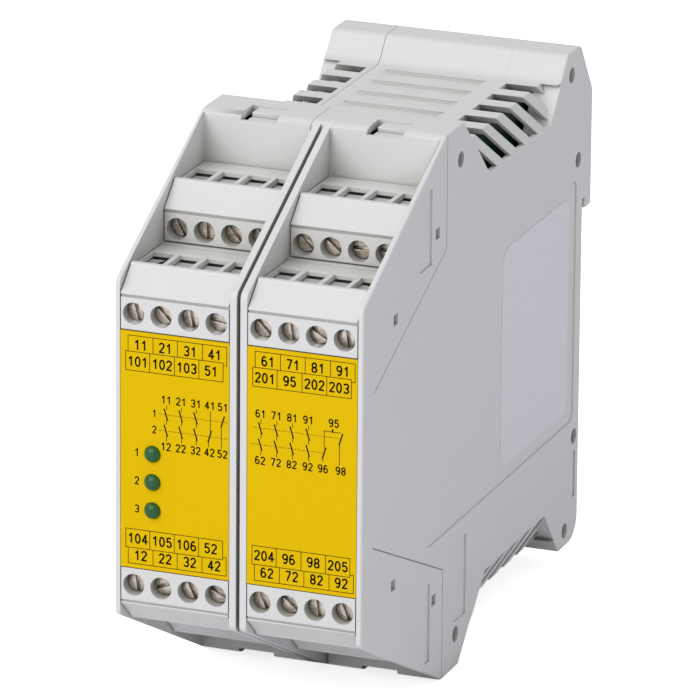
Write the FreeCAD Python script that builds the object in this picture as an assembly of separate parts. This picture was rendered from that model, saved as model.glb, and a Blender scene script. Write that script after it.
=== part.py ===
"""Safety relay: a two-module electronics housing for a 35 mm rail, with plug-in screw terminals.

The housing is 45 mm wide.  Both modules hold the same fittings: two terminal plugs above and two
below a printed front plate.  While it is being built, y runs from the front plane to the rear and
z from the middle of the height upwards; the finished solids are moved so that the origin is the
centre of the rail seat.  All lengths are millimetres.
"""
import FreeCAD, Part
import math
import os

V = FreeCAD.Vector

# Outline of the housing, seen from the side; top and bottom are alike up to the rear
WIDTH = 45.0
HEIGHT = 99.0
DEPTH = 114.5
FRONT_HEIGHT = 60.0        # upright part of the front
CREST_START = 39.3         # the front slopes back to here
CREST_LENGTH = 8.6
VENT_DROP = 6.7            # from the crest down to the vented back
DIP_ANGLE = 45.0           # slope behind the crest
DIP_RADIUS = 2.5           # rounding where both slopes meet the vented back
RIDGE_BACK = 13.5          # the rear ridge starts this far in front of the hook's back
RIDGE_LENGTH = 7.0
RIDGE_DROP = 2.3           # the rear ridge is this much lower than the crest
RIDGE_ANGLE = 50.0         # slope in front of the ridge and of the foot
FOOT_DROP = 3.5            # the foot is this much short of the full height
SHOULDER_DROP = 9.6        # from the ridge down to the back of the hook
SKIN = 1.5                 # thickness of the top, bottom and rear
SIDE_WALL = 1.2            # thickness of the side walls behind the bays
EDGE_BREAK = 0.4           # rounding of the outer edges of the side walls

# Rail seat
RAIL_WIDTH = 35.0
RAIL_FLANGE = 1.0
HOOK_BACK = 4.5            # the hook's back stands this far behind the rail's flanges
RAIL_PLAY = 0.3
HOOK_OVERLAP = 1.7         # how far the hook reaches over the rail's edge

# Shells: where the three housing pieces meet
SEAM_INSET = 10.5          # the rear seams lie this far inside the side walls
SEAM_FRONT = 2.0
SEAM_STEP = 50.5
SEAM_GAP_LEFT = 0.10
SEAM_GAP_RIGHT = 0.02

# Vents: ribs and slots over the back
VENT_PITCH = 7.0
VENT_SLOT = 3.5
VENT_FIRST = 55.7          # the first slot is open on the bevelled corners only
VENT_REACH = 9.3           # the open slots reach this far in from the side walls
VENT_CORNER = 3.5          # width of the bevelled corner that the slots run over
VENT_SIDE_DROP = 6.5       # height of the bevelled corner
VENT_SILL = 0.35           # the slots end this much above the foot of the bevelled corner
VENT_SLAT = 1.0            # thickness of the slats on the bevelled corner
GROOVE_INSET = 2.4         # the blind grooves between the slots end this far from the seams
GROOVE_DEPTH = 0.9
GROOVE_RAMP = 1.4

# Bays: one per module, open to the front
BAY_SIDE = 0.95            # side wall beside a bay
BAY_MIDDLE = 1.55          # half of the wall between the bays
BAY_WALL = 1.4             # wall between a bay and the inside
CENTRE_SLIT = 0.7          # slit between the two middle walls
CENTRE_SLIT_DEPTH = 2.5
CENTRE_SLIT_REACH = 0.7    # how far the slit runs on into the crest
CENTRE_RIB_DEPTH = 8.0

# Front plates with their labels
PLATE_HEIGHT = 42.3
PLATE_THICKNESS = 2.75
LABEL_THICKNESS = 0.25
PLATE_CLEARANCE = 0.1
CLIP_LENGTH = 6.0
CLIP_WIDTH = 5.0
CLIP_THICKNESS = 1.2

# Indicator lights in the left plate
LIGHT_RADIUS = 1.45
LIGHT_PITCH = 5.07
LIGHT_OFFSET = 4.05        # the lights are this far to the left of their module's middle
LIGHT_TOP = -0.3
LIGHT_PROUD = 1.1
LIGHT_TIP_RADIUS = 0.8
LIGHT_BODY = 5.5
LIGHT_LEAD = 0.5
LIGHT_LEAD_SPACING = 2.54
LIGHT_CLEARANCE = 0.05

# Terminal plugs: y from the screw face, z from the screw row
POLES = 4
SCREW_ROW = 24.3           # height of the front plug's screws above the middle
PLUG_BACK = 19.4           # the rear plug sits this far behind the front one
PLUG_UP = 9.3              # and this much further out
PLUG_DEPTH = 18.3
PLUG_END_GAP = 0.3
PLUG_SIDE_GAP = 0.2
PLUG_TRAVEL = 10.0
PLUG_BELOW_FRONT = 2.95
PLUG_BELOW_REAR = 2.35
PLUG_FACE_TOP = 2.8
PLUG_FLOOR_GAP = 0.2
SLANT_PROUD = 0.25
SLANT_START = 3.2
SLANT_END = 7.1
LIP_Y = 4.2
LIP_TOP = 7.55
LIP_WIDTH = 1.3
PLUG_TOP = 6.75
NOTCH = 0.35
ENTRY_START = 5.8
ENTRY_LENGTH = 8.0
ENTRY_WALL = 0.9           # wall between two wire entries
ENTRY_TAPER = 0.15

# Clamp screws
SCREW_HOLE_RADIUS = 1.95
SCREW_HEAD_RADIUS = 1.8
SCREW_HEAD_FACE = 1.9
SCREW_HEAD_HEIGHT = 1.7
SCREW_SLOT = 0.55
SCREW_SLOT_DEPTH = 0.8
SHANK_RADIUS = 1.0
SHANK_LENGTH = 2.6
SHANK_CLEARANCE = 0.05

# How far each screw's slot leans over to the right, in degrees from upright
SLOT_TURNS = {
    "left_top_front": (-14, -45, -10, -82), "left_top_rear": (-28, -2, -40, -28),
    "left_bottom_front": (-7, 70, -25, -65), "left_bottom_rear": (-33, 12, -60, -5),
    "right_top_front": (-45, -8, -60, -7), "right_top_rear": (-45, -50, -88, -82),
    "right_bottom_front": (-22, -50, -8, -20), "right_bottom_rear": (-71, -18, 35, -40)}

# Clamp cages
CAGE_START = 4.5
CAGE_LENGTH = 8.4
CAGE_SPACE = 0.9           # between two cages
CAGE_BOTTOM = -1.75
CAGE_TOP = 5.65
CAGE_WALL = 0.7
CAGE_CLEARANCE = 0.15
FORK_LENGTH = 2.6
FORK_LEAF = 0.4

# Pin headers behind the plugs
PIN = 1.0
PIN_REACH = 5.3            # how far a pin stands out in front of its header
PIN_TAIL = 1.5
PIN_CLEARANCE = 0.35
HEADER_DEPTH = 6.0
HEADER_HEIGHT = 9.0
HEADER_SIDE = 0.5
HEADER_NOSE_HALF = 3.0
HEADER_FIT = 0.1

# Circuit boards and what they carry
BOARD_SIDE = 6.9           # from the side wall in to the middle of the board
BOARD_THICKNESS = 1.6
BOARD_GAP = 0.25
RELAY_SIZE = (11.3, 16.5)
RELAY_SPACING = 19.5
RELAY_GAP = 8.0            # between the rear relay and the strip that joins the boards
CAPACITOR_RADIUS = 4.0
CAPACITOR_HEIGHT = 11.0
CAPACITOR_DROP = 8.8       # from the vented back down to the middle of the capacitors
CAPACITOR_SPACE = 4.0      # between the relays and the capacitors above them
CAPACITOR_START = 58.0
CAPACITOR_PITCH = 12.0
CONVERTER_SIZE = (10.0, 20.0, 9.5)
CONVERTER_START = 54.0
LINK_SIZE = (3.0, 20.0)
LINK_BACK = 20.5           # from the joining strip to the hook's back
SEAT_GAP = 0.05
GUIDE_RIB = 0.6
GUIDE_DEPTH = 2.2
GUIDE_HALF = 28.0

# Snap latches in the crest
CATCH_WIDTH = 6.6
CATCH_LENGTH = 5.8
CATCH_DEPTH = 1.2
CATCH_GAP = 0.3
CATCH_LIP = 2.4
CATCH_END_GAP = 1.0        # open end beside the catch
CATCH_RIM = 0.6            # wall in front of the open end
CATCH_BAR_DROP = 0.4

# Sliding foot that locks the rail
LATCH_HALF = 8.0
LATCH_NECK_HALF = 6.5
LATCH_FLANGE = 1.5
LATCH_THICKNESS = 2.6
LATCH_PLAY = 0.25
LATCH_TRAVEL = 4.0
LATCH_LIP = 1.7
LATCH_BRIDGE = 3.8
LATCH_SHELF_Z = -27.0
LATCH_SHELF_HALF = 2.5
LATCH_SHELF_REACH = 6.0
LATCH_SHELF_THICKNESS = 1.5
TOOL_SLOT = (6.0, 2.0)
SPRING_HEIGHT = 11.0
SPRING_STRIP = 0.4
SPRING_WIDTH = 4.0
SPRING_HALF = 2.2
SPRING_BENDS = 4

# Details of the side walls
PIN_HOLE_RADIUS = 1.45
PIN_HOLE_DEPTH = 4.0
PIN_BOSS_WALL = 1.2
CREST_PIN = (6.9, 6.2)     # behind the start of the crest and below its top
RIDGE_PIN = (11.5, 4.3)    # in front of the hook's back and below the top of the ridge
REAR_PIN = (7.3, 26.1)     # in front of the hook's back and above the middle
KEY_HOLE = 2.0
KEY_HOLE_DEPTH = 0.8
KEY_HOLES = ((35.1, 33.2), (15.1, 23.8))
LINE_WIDTH = 0.25
LINE_DEPTH = 0.3
LINE_BEND = (39.4, 29.2)
LINE_FALL = 0.445
PANEL_DEPTH = 0.3
UPPER_PANEL = (26.6, 32.3, 28.4, 42.0)
LOWER_PANEL = (45.6, 51.2, -41.0, -26.2)
FRONT_GROOVE = (31.0, 33.2, -43.8, -29.4)
REAR_GROOVE = (7.5, 6.3, -37.8, -29.0)     # in front of the hook's back
FIELD_START = 31.0
FIELD_BACK = 7.9
FIELD_HALF = 22.8
FIELD_DEPTH = 0.25
FIELD_RADIUS = 2.0
STICKER_LENGTH = 34.4
STICKER_BACK = 11.3
STICKER_HALF = 20.2
STICKER_THICKNESS = 0.1
STICKER_RADIUS = 3.0

CLEAR = 5.0                # how far a cutting shape reaches past what it cuts

# Worked out from the sizes above
HALF_WIDTH = WIDTH / 2
HALF_HEIGHT = HEIGHT / 2
HALF_FRONT = FRONT_HEIGHT / 2
RAIL_SEAT = DEPTH - HOOK_BACK
SEAM_REAR = HALF_WIDTH - SEAM_INSET
CREST_END = CREST_START + CREST_LENGTH
VENT_Z = HALF_HEIGHT - VENT_DROP
DIP_START = CREST_END + VENT_DROP / math.tan(math.radians(DIP_ANGLE))
RIDGE_START = DEPTH - RIDGE_BACK
RIDGE_Z = HALF_HEIGHT - RIDGE_DROP
SHOULDER_HEIGHT = RIDGE_Z - SHOULDER_DROP
RIDGE_RUN = 1 / math.tan(math.radians(RIDGE_ANGLE))
DIP_END = RIDGE_START - (RIDGE_Z - VENT_Z) * RIDGE_RUN
VENT_COUNT = 1 + int((DIP_END - VENT_SLOT - VENT_FIRST) / VENT_PITCH)
VENT_INNER = HALF_WIDTH - VENT_REACH
GROOVE_HALF = SEAM_REAR - GROOVE_INSET
FOOT_Z = HALF_HEIGHT - FOOT_DROP
FOOT_START = DIP_END + (FOOT_Z - VENT_Z) * RIDGE_RUN
CORNER_Z = VENT_Z - VENT_SIDE_DROP
HOOK_Z = RAIL_WIDTH / 2 - HOOK_OVERLAP
HOOK_TOP_Z = RAIL_WIDTH / 2 + RAIL_PLAY
HOOK_FACE = RAIL_SEAT + RAIL_FLANGE + RAIL_PLAY
PLATE_HALF = PLATE_HEIGHT / 2
PLATE_BACK = LABEL_THICKNESS + PLATE_THICKNESS
FRONT_POCKET_END = PLUG_DEPTH + PLUG_END_GAP
REAR_POCKET_END = PLUG_BACK + FRONT_POCKET_END
FRONT_FLOOR = SCREW_ROW - PLUG_BELOW_FRONT - PLUG_FLOOR_GAP
REAR_FLOOR = SCREW_ROW + PLUG_UP - PLUG_BELOW_REAR - PLUG_FLOOR_GAP
BAY_WIDTH = HALF_WIDTH - BAY_SIDE - BAY_MIDDLE
MODULE_PITCH = 2 * BAY_MIDDLE + BAY_WIDTH
PLUG_WIDTH = BAY_WIDTH - 2 * PLUG_SIDE_GAP
POLE_PITCH = BAY_WIDTH / POLES
ENTRY_WIDTH = POLE_PITCH - ENTRY_WALL
CAGE_HALF = (POLE_PITCH - CAGE_SPACE) / 2
LIGHT_X = -MODULE_PITCH / 2 - LIGHT_OFFSET
MODULES = {"left": -MODULE_PITCH / 2, "right": MODULE_PITCH / 2}
LEVELS = {"front": (0.0, SCREW_ROW, PLUG_BELOW_FRONT),
          "rear": (PLUG_BACK, SCREW_ROW + PLUG_UP, PLUG_BELOW_REAR)}
BOARD_X = HALF_WIDTH - BOARD_SIDE
BOARD_OUTER = BOARD_X + BOARD_THICKNESS / 2
BOARD_INNER = BOARD_X - BOARD_THICKNESS / 2
BOARD_FRONT = PLATE_BACK + CLIP_LENGTH + BOARD_GAP
LINK_Y = DEPTH - LINK_BACK
RELAY_FIRST = LINK_Y - RELAY_GAP - RELAY_SIZE[1] - RELAY_SPACING
CAPACITOR_Z = VENT_Z - CAPACITOR_DROP
RELAY_HALF = CAPACITOR_Z - CAPACITOR_RADIUS - CAPACITOR_SPACE


def box(x0, x1, y0, y1, z0, z1):
    """Block between two corners."""
    return Part.makeBox(x1 - x0, y1 - y0, z1 - z0, V(x0, y0, z0))


def rounded_wire(corners):
    """Closed wire in the YZ plane; each corner is (y, z, radius) and gets a tangent arc."""
    count = len(corners)
    arcs = []
    for i, (y, z, radius) in enumerate(corners):
        here = V(0, y, z)
        behind = V(0, corners[i - 1][0], corners[i - 1][1]) - here
        ahead = V(0, corners[(i + 1) % count][0], corners[(i + 1) % count][1]) - here
        behind.normalize()
        ahead.normalize()
        if radius == 0:
            arcs.append((here, None, here))
            continue
        half = behind.getAngle(ahead) / 2
        reach = radius / math.tan(half)
        bisector = (behind + ahead).normalize()
        middle = here + bisector * (radius / math.sin(half) - radius)
        arcs.append((here + behind * reach, middle, here + ahead * reach))
    edges = []
    for i, (start, middle, end) in enumerate(arcs):
        if middle is not None:
            edges.append(Part.Arc(start, middle, end).toShape())
        following = arcs[(i + 1) % count][0]
        if end.distanceToPoint(following) > 1e-6:
            edges.append(Part.LineSegment(end, following).toShape())
    return Part.Wire(edges)


def prism(corners, x0, x1):
    """Solid between x0 and x1 whose section is an outline of (y, z, radius) corners."""
    face = Part.Face(rounded_wire(corners))
    face.translate(V(x0, 0, 0))
    return face.extrude(V(x1 - x0, 0, 0))


def sharp(points):
    """The same points as corners with no rounding."""
    return [(y, z, 0) for y, z in points]


def flip(shape):
    """Mirror image through the middle of the height."""
    return shape.mirror(V(0, 0, 0), V(0, 0, 1))


def both_sides(shape):
    """The shape and its mirror image through the middle of the width."""
    return [shape, shape.mirror(V(0, 0, 0), V(1, 0, 0))]


def top_and_bottom(shape):
    """The shape and its mirror image through the middle of the height."""
    return [shape, flip(shape)]


def fuse(shapes):
    """One solid from touching shapes."""
    return shapes[0].fuse(shapes[1:]).removeSplitter()


# ---------------------------------------------------------------- housing

def housing_outline():
    """Corners of the housing's side view, from the lower front, up and round the rear."""
    shoulder_run = (RIDGE_START + RIDGE_LENGTH, RIDGE_Z, 2.0)
    top = [(0, HALF_FRONT, 1.5), (CREST_START, HALF_HEIGHT, 4.0), (CREST_END, HALF_HEIGHT, 0.5),
           (DIP_START, VENT_Z, DIP_RADIUS), (DIP_END, VENT_Z, DIP_RADIUS)]
    ridge = [(RIDGE_START, RIDGE_Z, 1.5), shoulder_run, (DEPTH, SHOULDER_HEIGHT, 3.0)]
    hook = [(DEPTH, HOOK_Z, 0.8), (HOOK_FACE, HOOK_Z, 0.4), (HOOK_FACE, HOOK_TOP_Z, 0),
            (RAIL_SEAT, HOOK_TOP_Z, 0)]
    foot = [(RAIL_SEAT, -FOOT_Z, 4.5), (FOOT_START, -FOOT_Z, 1.5)]
    bottom = [(y, -z, radius) for y, z, radius in reversed(top)]
    return top + ridge + hook + foot + bottom


def cavity_outline():
    """Corners of the room inside, a skin's thickness within the outline and clear of the bays."""
    dip = SKIN * math.tan(math.radians(DIP_ANGLE / 2))
    rise = SKIN * math.tan(math.radians(RIDGE_ANGLE / 2))
    inner_rear = RAIL_SEAT - SKIN
    half = [(PLATE_BACK + PLATE_CLEARANCE, FRONT_FLOOR - BAY_WALL),
            (FRONT_POCKET_END + BAY_WALL, FRONT_FLOOR - BAY_WALL),
            (FRONT_POCKET_END + BAY_WALL, REAR_FLOOR - BAY_WALL),
            (REAR_POCKET_END + BAY_WALL, REAR_FLOOR - BAY_WALL),
            (REAR_POCKET_END + BAY_WALL, HALF_HEIGHT - SKIN),
            (CREST_END - dip, HALF_HEIGHT - SKIN), (DIP_START - dip, VENT_Z - SKIN)]
    ridge = [(DIP_END + rise, VENT_Z - SKIN), (RIDGE_START + rise, RIDGE_Z - SKIN),
             (inner_rear - SKIN, RIDGE_Z - SKIN), (inner_rear, RIDGE_Z - 2 * SKIN)]
    foot = [(inner_rear, -(FOOT_Z - SKIN)), (FOOT_START + rise, -(FOOT_Z - SKIN)),
            (DIP_END + rise, -(VENT_Z - SKIN))]
    return sharp(half + ridge + foot + [(y, -z) for y, z in reversed(half)])


def corner_bevel(grow):
    """What the bevelled corner beside the vents takes off, moved inwards by grow."""
    reach = 40.0
    lean = math.hypot(VENT_CORNER, VENT_SIDE_DROP)
    x_shift = grow * lean / VENT_SIDE_DROP
    inner = HALF_WIDTH - VENT_CORNER - x_shift
    section = Part.makePolygon([V(inner, 0, VENT_Z), V(inner + reach, 0, VENT_Z),
                                V(inner + reach, 0, CORNER_Z), V(HALF_WIDTH - x_shift, 0, CORNER_Z),
                                V(inner, 0, VENT_Z)])
    across = Part.Face(section).extrude(V(0, DEPTH, 0))
    drop = VENT_SIDE_DROP
    slope = drop / math.tan(math.radians(DIP_ANGLE))
    along = prism(sharp([(DIP_START, VENT_Z), (DIP_END, VENT_Z),
                         (DIP_END - drop * RIDGE_RUN, CORNER_Z), (DIP_START + slope, CORNER_Z)]),
                  -reach, reach + HALF_WIDTH)
    return across.common(along)


def bay_pocket(middle):
    """Stepped room for the two upper plugs of a module, open to the front and above."""
    clear = HALF_HEIGHT + CLEAR
    steps = [(-1, FRONT_FLOOR), (FRONT_POCKET_END, FRONT_FLOOR), (FRONT_POCKET_END, REAR_FLOOR),
             (REAR_POCKET_END, REAR_FLOOR), (REAR_POCKET_END, clear), (-1, clear)]
    return prism(sharp(steps), middle - BAY_WIDTH / 2, middle + BAY_WIDTH / 2)


def header_window(middle, level):
    """Opening in a bay's end wall that a header's nose sits in."""
    y, z, _ = LEVELS[level]
    end = y + FRONT_POCKET_END
    half = BAY_WIDTH / 2 - 1.0
    return box(middle - half, middle + half, end - 0.5, end + BAY_WALL + 0.5,
               z - HEADER_NOSE_HALF + 0.8, z + HEADER_NOSE_HALF + 0.8)


def catch_cuts(middle):
    """Notch in the crest for a snap catch: a shallow seat, a gap right through and an open end."""
    x0 = middle - CATCH_WIDTH / 2
    x1 = middle + CATCH_WIDTH / 2
    front = REAR_POCKET_END
    seat = box(x0, x1, front - 1, front + CATCH_LENGTH, HALF_HEIGHT - CATCH_DEPTH, HALF_HEIGHT + 1)
    gap = box(x0, x1, front + CATCH_LIP, front + CATCH_LIP + CATCH_GAP,
              HALF_HEIGHT - 2 * SKIN, HALF_HEIGHT)
    end = box(x0, x0 + CATCH_END_GAP, front + CATCH_RIM, front + CATCH_LENGTH,
              HALF_HEIGHT - 2 * SKIN, HALF_HEIGHT)
    return [seat, gap, end]


def catch_bar(middle):
    """Bar of the snap catch behind its gap, a little lower than the crest."""
    x0 = middle - CATCH_WIDTH / 2
    start = REAR_POCKET_END + CATCH_LIP + CATCH_GAP
    return box(x0 + CATCH_END_GAP, x0 + CATCH_WIDTH, start, REAR_POCKET_END + CATCH_LENGTH,
               HALF_HEIGHT - SKIN, HALF_HEIGHT - CATCH_BAR_DROP)


def ridge_wall():
    """Wall that carries the slope of the ridge on down through the bevelled corner."""
    low = CORNER_Z - SKIN
    run = (VENT_Z - low) * RIDGE_RUN
    return prism(sharp([(DIP_END, VENT_Z), (DIP_END - run, low), (DIP_END - run + 2 * SKIN, low),
                        (DIP_END + 2 * SKIN, VENT_Z)]), HALF_WIDTH - VENT_CORNER - SKIN, HALF_WIDTH)


def behind_ridge():
    """Space behind the front of the ridge, which the slots leave whole."""
    high = VENT_Z + 1
    low = CORNER_Z - SKIN
    front = [(DIP_END + (high - VENT_Z) * RIDGE_RUN, high), (DIP_END - (VENT_Z - low) * RIDGE_RUN, low)]
    return prism(sharp(front + [(DEPTH, low), (DEPTH, high)]), 0, HALF_WIDTH + 2)


def vent_slot(y0, x0):
    """Slot from x0 outwards that leans to the rear on its way down, as the slope of the crest does."""
    high = VENT_Z + 1
    low = CORNER_Z + VENT_SILL
    lean = 1 / math.tan(math.radians(DIP_ANGLE))
    top = y0 + (VENT_Z - high) * lean
    foot = y0 + (VENT_Z - low) * lean
    corners = [(top, high), (top + VENT_SLOT, high), (foot + VENT_SLOT, low), (foot, low)]
    return prism(sharp(corners), x0, HALF_WIDTH + 1)


def vent_cuts():
    """Open slots over both bevelled corners and blind grooves between them, for the top."""
    corner_slot = vent_slot(VENT_FIRST, HALF_WIDTH - VENT_CORNER)
    cuts = both_sides(corner_slot)
    for i in range(1, VENT_COUNT):
        y0 = VENT_FIRST + i * VENT_PITCH
        cuts += both_sides(vent_slot(y0, VENT_INNER).cut(behind_ridge()))
        low = VENT_Z - GROOVE_DEPTH
        ramp = Part.makePolygon([V(-GROOVE_HALF, y0, VENT_Z), V(GROOVE_HALF, y0, VENT_Z),
                                 V(GROOVE_HALF - GROOVE_RAMP, y0, low),
                                 V(GROOVE_RAMP - GROOVE_HALF, y0, low), V(-GROOVE_HALF, y0, VENT_Z)])
        cuts.append(Part.Face(ramp).extrude(V(0, VENT_SLOT, 0)))
    return cuts


def pin_places():
    """Side-wall positions of the blind pin holes."""
    upper = [(CREST_START + CREST_PIN[0], HALF_HEIGHT - CREST_PIN[1]),
             (DEPTH - RIDGE_PIN[0], RIDGE_Z - RIDGE_PIN[1]), (DEPTH - REAR_PIN[0], REAR_PIN[1])]
    return upper + [(y, -z) for y, z in upper]


def side_cylinder(place, radius, x0, x1):
    """Cylinder across a side wall at a (y, z) place."""
    return Part.makeCylinder(radius, x1 - x0, V(x0, place[0], place[1]), V(1, 0, 0))


def side_cuts():
    """Everything sunk into the outside of the right wall."""
    outer = HALF_WIDTH + 1
    cuts = [side_cylinder(p, PIN_HOLE_RADIUS, HALF_WIDTH - PIN_HOLE_DEPTH, outer) for p in pin_places()]
    half_key = KEY_HOLE / 2
    for y, z in KEY_HOLES:
        key = box(HALF_WIDTH - KEY_HOLE_DEPTH, outer, y - half_key, y + half_key,
                  z - half_key, z + half_key)
        cuts += top_and_bottom(key)
    rear_groove = (DEPTH - REAR_GROOVE[0], DEPTH - REAR_GROOVE[1], *REAR_GROOVE[2:])
    for y0, y1, z0, z1 in (UPPER_PANEL, LOWER_PANEL, FRONT_GROOVE, rear_groove):
        cuts.append(box(HALF_WIDTH - PANEL_DEPTH, outer, y0, y1, z0, z1))
    cuts += top_and_bottom(seam_line())
    y0, y1, half = FIELD_START, DEPTH - FIELD_BACK, FIELD_HALF
    field = [(y0, -half, FIELD_RADIUS), (y0, half, FIELD_RADIUS), (y1, half, FIELD_RADIUS),
             (y1, -half, FIELD_RADIUS)]
    cuts.append(prism(field, HALF_WIDTH - FIELD_DEPTH, outer))
    return cuts


def seam_line():
    """Fine line that frames the side of a bay: slanting back from the front, then up the wall."""
    y, z = LINE_BEND
    start = (5.0, z - (y - 5.0) * LINE_FALL)
    w = LINE_WIDTH
    line = sharp([start, (y, z), (y, HALF_HEIGHT + 1), (y + w, HALF_HEIGHT + 1), (y + w, z - w / 2),
                  (start[0], start[1] - w)])
    return prism(line, HALF_WIDTH - LINE_DEPTH, HALF_WIDTH + 1)


def guide_ribs():
    """Ribs on the rear wall that hold the rear edge of the right circuit board."""
    rear = RAIL_SEAT - SKIN
    ribs = []
    for x0 in (BOARD_INNER - BOARD_GAP - GUIDE_RIB, BOARD_OUTER + BOARD_GAP):
        ribs.append(box(x0, x0 + GUIDE_RIB, rear - GUIDE_DEPTH, rear + 0.1, -GUIDE_HALF, GUIDE_HALF))
    return ribs


def latch_recess():
    """Way for the sliding foot in the rear wall, undercut so that the foot can't fall out."""
    play = LATCH_PLAY
    seat = RAIL_SEAT
    top = -RAIL_WIDTH / 2 - RAIL_PLAY + play
    front = seat - play - LATCH_THICKNESS - play
    low = -HALF_HEIGHT - LATCH_TRAVEL
    wide = box(-LATCH_HALF - play, LATCH_HALF + play, front, front + LATCH_FLANGE + 2 * play, low, top)
    neck = box(-LATCH_NECK_HALF - play, LATCH_NECK_HALF + play, front, seat + 1, low, top)
    shelf_low = LATCH_SHELF_Z - LATCH_SHELF_THICKNESS - LATCH_TRAVEL - play
    window = box(-LATCH_SHELF_HALF - play, LATCH_SHELF_HALF + play, front - 4, front + 0.1,
                 shelf_low, LATCH_SHELF_Z + play)
    return [wide, neck, window]


def latch_guide():
    """Thicker rear wall round the foot's way, with the ledge that the spring stands on."""
    front = RAIL_SEAT - 2 * LATCH_PLAY - LATCH_THICKNESS
    wall = box(-LATCH_HALF - 2, LATCH_HALF + 2, front - SKIN, RAIL_SEAT - SKIN + 0.1,
               -(FOOT_Z - SKIN) - 0.1, -RAIL_WIDTH / 2 + 2)
    ledge_top = LATCH_SHELF_Z - LATCH_SHELF_THICKNESS - SPRING_HEIGHT
    ledge = box(-LATCH_SHELF_HALF - 2, LATCH_SHELF_HALF + 2, front - LATCH_SHELF_REACH - 1,
                front - SKIN + 0.1, ledge_top - SKIN, ledge_top)
    return [wall, ledge]


def housing():
    """The whole housing as one shell, before it is divided into its three pieces."""
    solid = prism(housing_outline(), -HALF_WIDTH, HALF_WIDTH)
    rim = [edge for edge in solid.Edges if abs(abs(edge.CenterOfMass.x) - HALF_WIDTH) < 1e-6]
    solid = solid.makeFillet(EDGE_BREAK, rim)
    room = prism(cavity_outline(), SIDE_WALL - HALF_WIDTH, HALF_WIDTH - SIDE_WALL)
    bevels = []
    for bevel in both_sides(corner_bevel(0)):
        bevels += top_and_bottom(bevel)
    solid = solid.cut(bevels)
    kept = [box(-SEAM_FRONT, SEAM_FRONT, 0, CENTRE_RIB_DEPTH, -HALF_FRONT, HALF_FRONT)]
    kept += latch_guide()
    for part in both_sides(corner_bevel(VENT_SLAT)) + both_sides(ridge_wall()):
        kept += top_and_bottom(part)
    half_boss = PIN_HOLE_RADIUS + PIN_BOSS_WALL
    for y, z in pin_places():
        kept += both_sides(box(HALF_WIDTH - PIN_HOLE_DEPTH - PIN_BOSS_WALL, HALF_WIDTH,
                               y - half_boss, y + half_boss, z - half_boss, z + half_boss))
    for rib in guide_ribs():
        kept += both_sides(rib)
    room = room.cut(kept)
    cuts = [room]
    upper = []
    for middle in MODULES.values():
        upper.append(bay_pocket(middle))
        upper += [header_window(middle, level) for level in LEVELS]
        upper += catch_cuts(middle)
        opening = PLATE_HALF + PLATE_CLEARANCE
        cuts.append(box(middle - BAY_WIDTH / 2, middle + BAY_WIDTH / 2, -1,
                        PLATE_BACK + PLATE_CLEARANCE + 0.01, -opening, opening))
    upper += vent_cuts()
    for cut in upper:
        cuts += top_and_bottom(cut)
    for cut in side_cuts():
        cuts += both_sides(cut)
    cuts += latch_recess()
    cuts += centre_slit()
    shell = solid.cut(cuts)
    bars = []
    for middle in MODULES.values():
        bars += top_and_bottom(catch_bar(middle))
    return shell.fuse(bars)


def centre_slit():
    """Slit between the two middle walls, following the outline from crest to crest."""
    half = CENTRE_SLIT / 2
    end = REAR_POCKET_END + CENTRE_SLIT_REACH
    outside = prism(sharp([(-1, -HALF_HEIGHT - 1), (-1, HALF_HEIGHT + 1), (end, HALF_HEIGHT + 1),
                           (end, -HALF_HEIGHT - 1)]), -half, half)
    slope = (HALF_HEIGHT - HALF_FRONT) / CREST_START
    deep = CENTRE_SLIT_DEPTH
    base = HALF_FRONT - deep
    high = base + (end + CLEAR - deep) * slope
    core = prism(sharp([(deep, -base), (deep, base), (end + CLEAR, high), (end + CLEAR, -high)]),
                 -half - 1, half + 1)
    return [outside.cut(core)]


def divide(shell):
    """The three pieces of the housing, cut along the stepped seams."""
    tall = HALF_HEIGHT + CLEAR
    left_edge = SEAM_GAP_LEFT / 2
    right_edge = SEAM_GAP_RIGHT / 2
    far = WIDTH

    def side_region(sign, gap):
        rear = box(SEAM_REAR + gap, far, SEAM_STEP + gap, DEPTH + CLEAR, -tall, tall)
        front = box(SEAM_FRONT + gap, far, -CLEAR, SEAM_STEP - gap, -tall, tall)
        bridge = box(SEAM_REAR + gap, far, SEAM_STEP - 1, SEAM_STEP + 1, -tall, tall)
        region = rear.fuse([front, bridge])
        return region if sign > 0 else region.mirror(V(0, 0, 0), V(1, 0, 0))

    left = shell.common(side_region(-1, left_edge))
    right = shell.common(side_region(1, right_edge))
    middle = shell.cut([side_region(-1, -left_edge), side_region(1, -right_edge)])
    return {"housing_left_shell": left, "housing_middle_frame": middle, "housing_right_shell": right}


# ---------------------------------------------------------------- front plates

def light_heights():
    """Heights of the indicator lights, from the top one down."""
    return [LIGHT_TOP - i * LIGHT_PITCH for i in range(3)]


def light_holes(clearance):
    """Holes for the lights through the left plate and label."""
    return [Part.makeCylinder(LIGHT_RADIUS + clearance, 10, V(LIGHT_X, -5, z), V(0, 1, 0))
            for z in light_heights()]


def front_plate(module):
    """Plate that closes a module's front, with two clips above and two below."""
    middle = MODULES[module]
    half = BAY_WIDTH / 2 - PLATE_CLEARANCE
    pieces = [box(middle - half, middle + half, LABEL_THICKNESS, PLATE_BACK, -PLATE_HALF, PLATE_HALF)]
    clip_z = FRONT_FLOOR - BAY_WALL - PLATE_CLEARANCE
    for x in (middle - CLIP_WIDTH, middle + CLIP_WIDTH):
        clip = box(x - CLIP_WIDTH / 2, x + CLIP_WIDTH / 2, PLATE_BACK - 0.5, PLATE_BACK + CLIP_LENGTH,
                   clip_z - CLIP_THICKNESS, clip_z)
        pieces += top_and_bottom(clip)
    plate = fuse(pieces)
    return plate.cut(light_holes(LIGHT_CLEARANCE)) if module == "left" else plate


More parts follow.
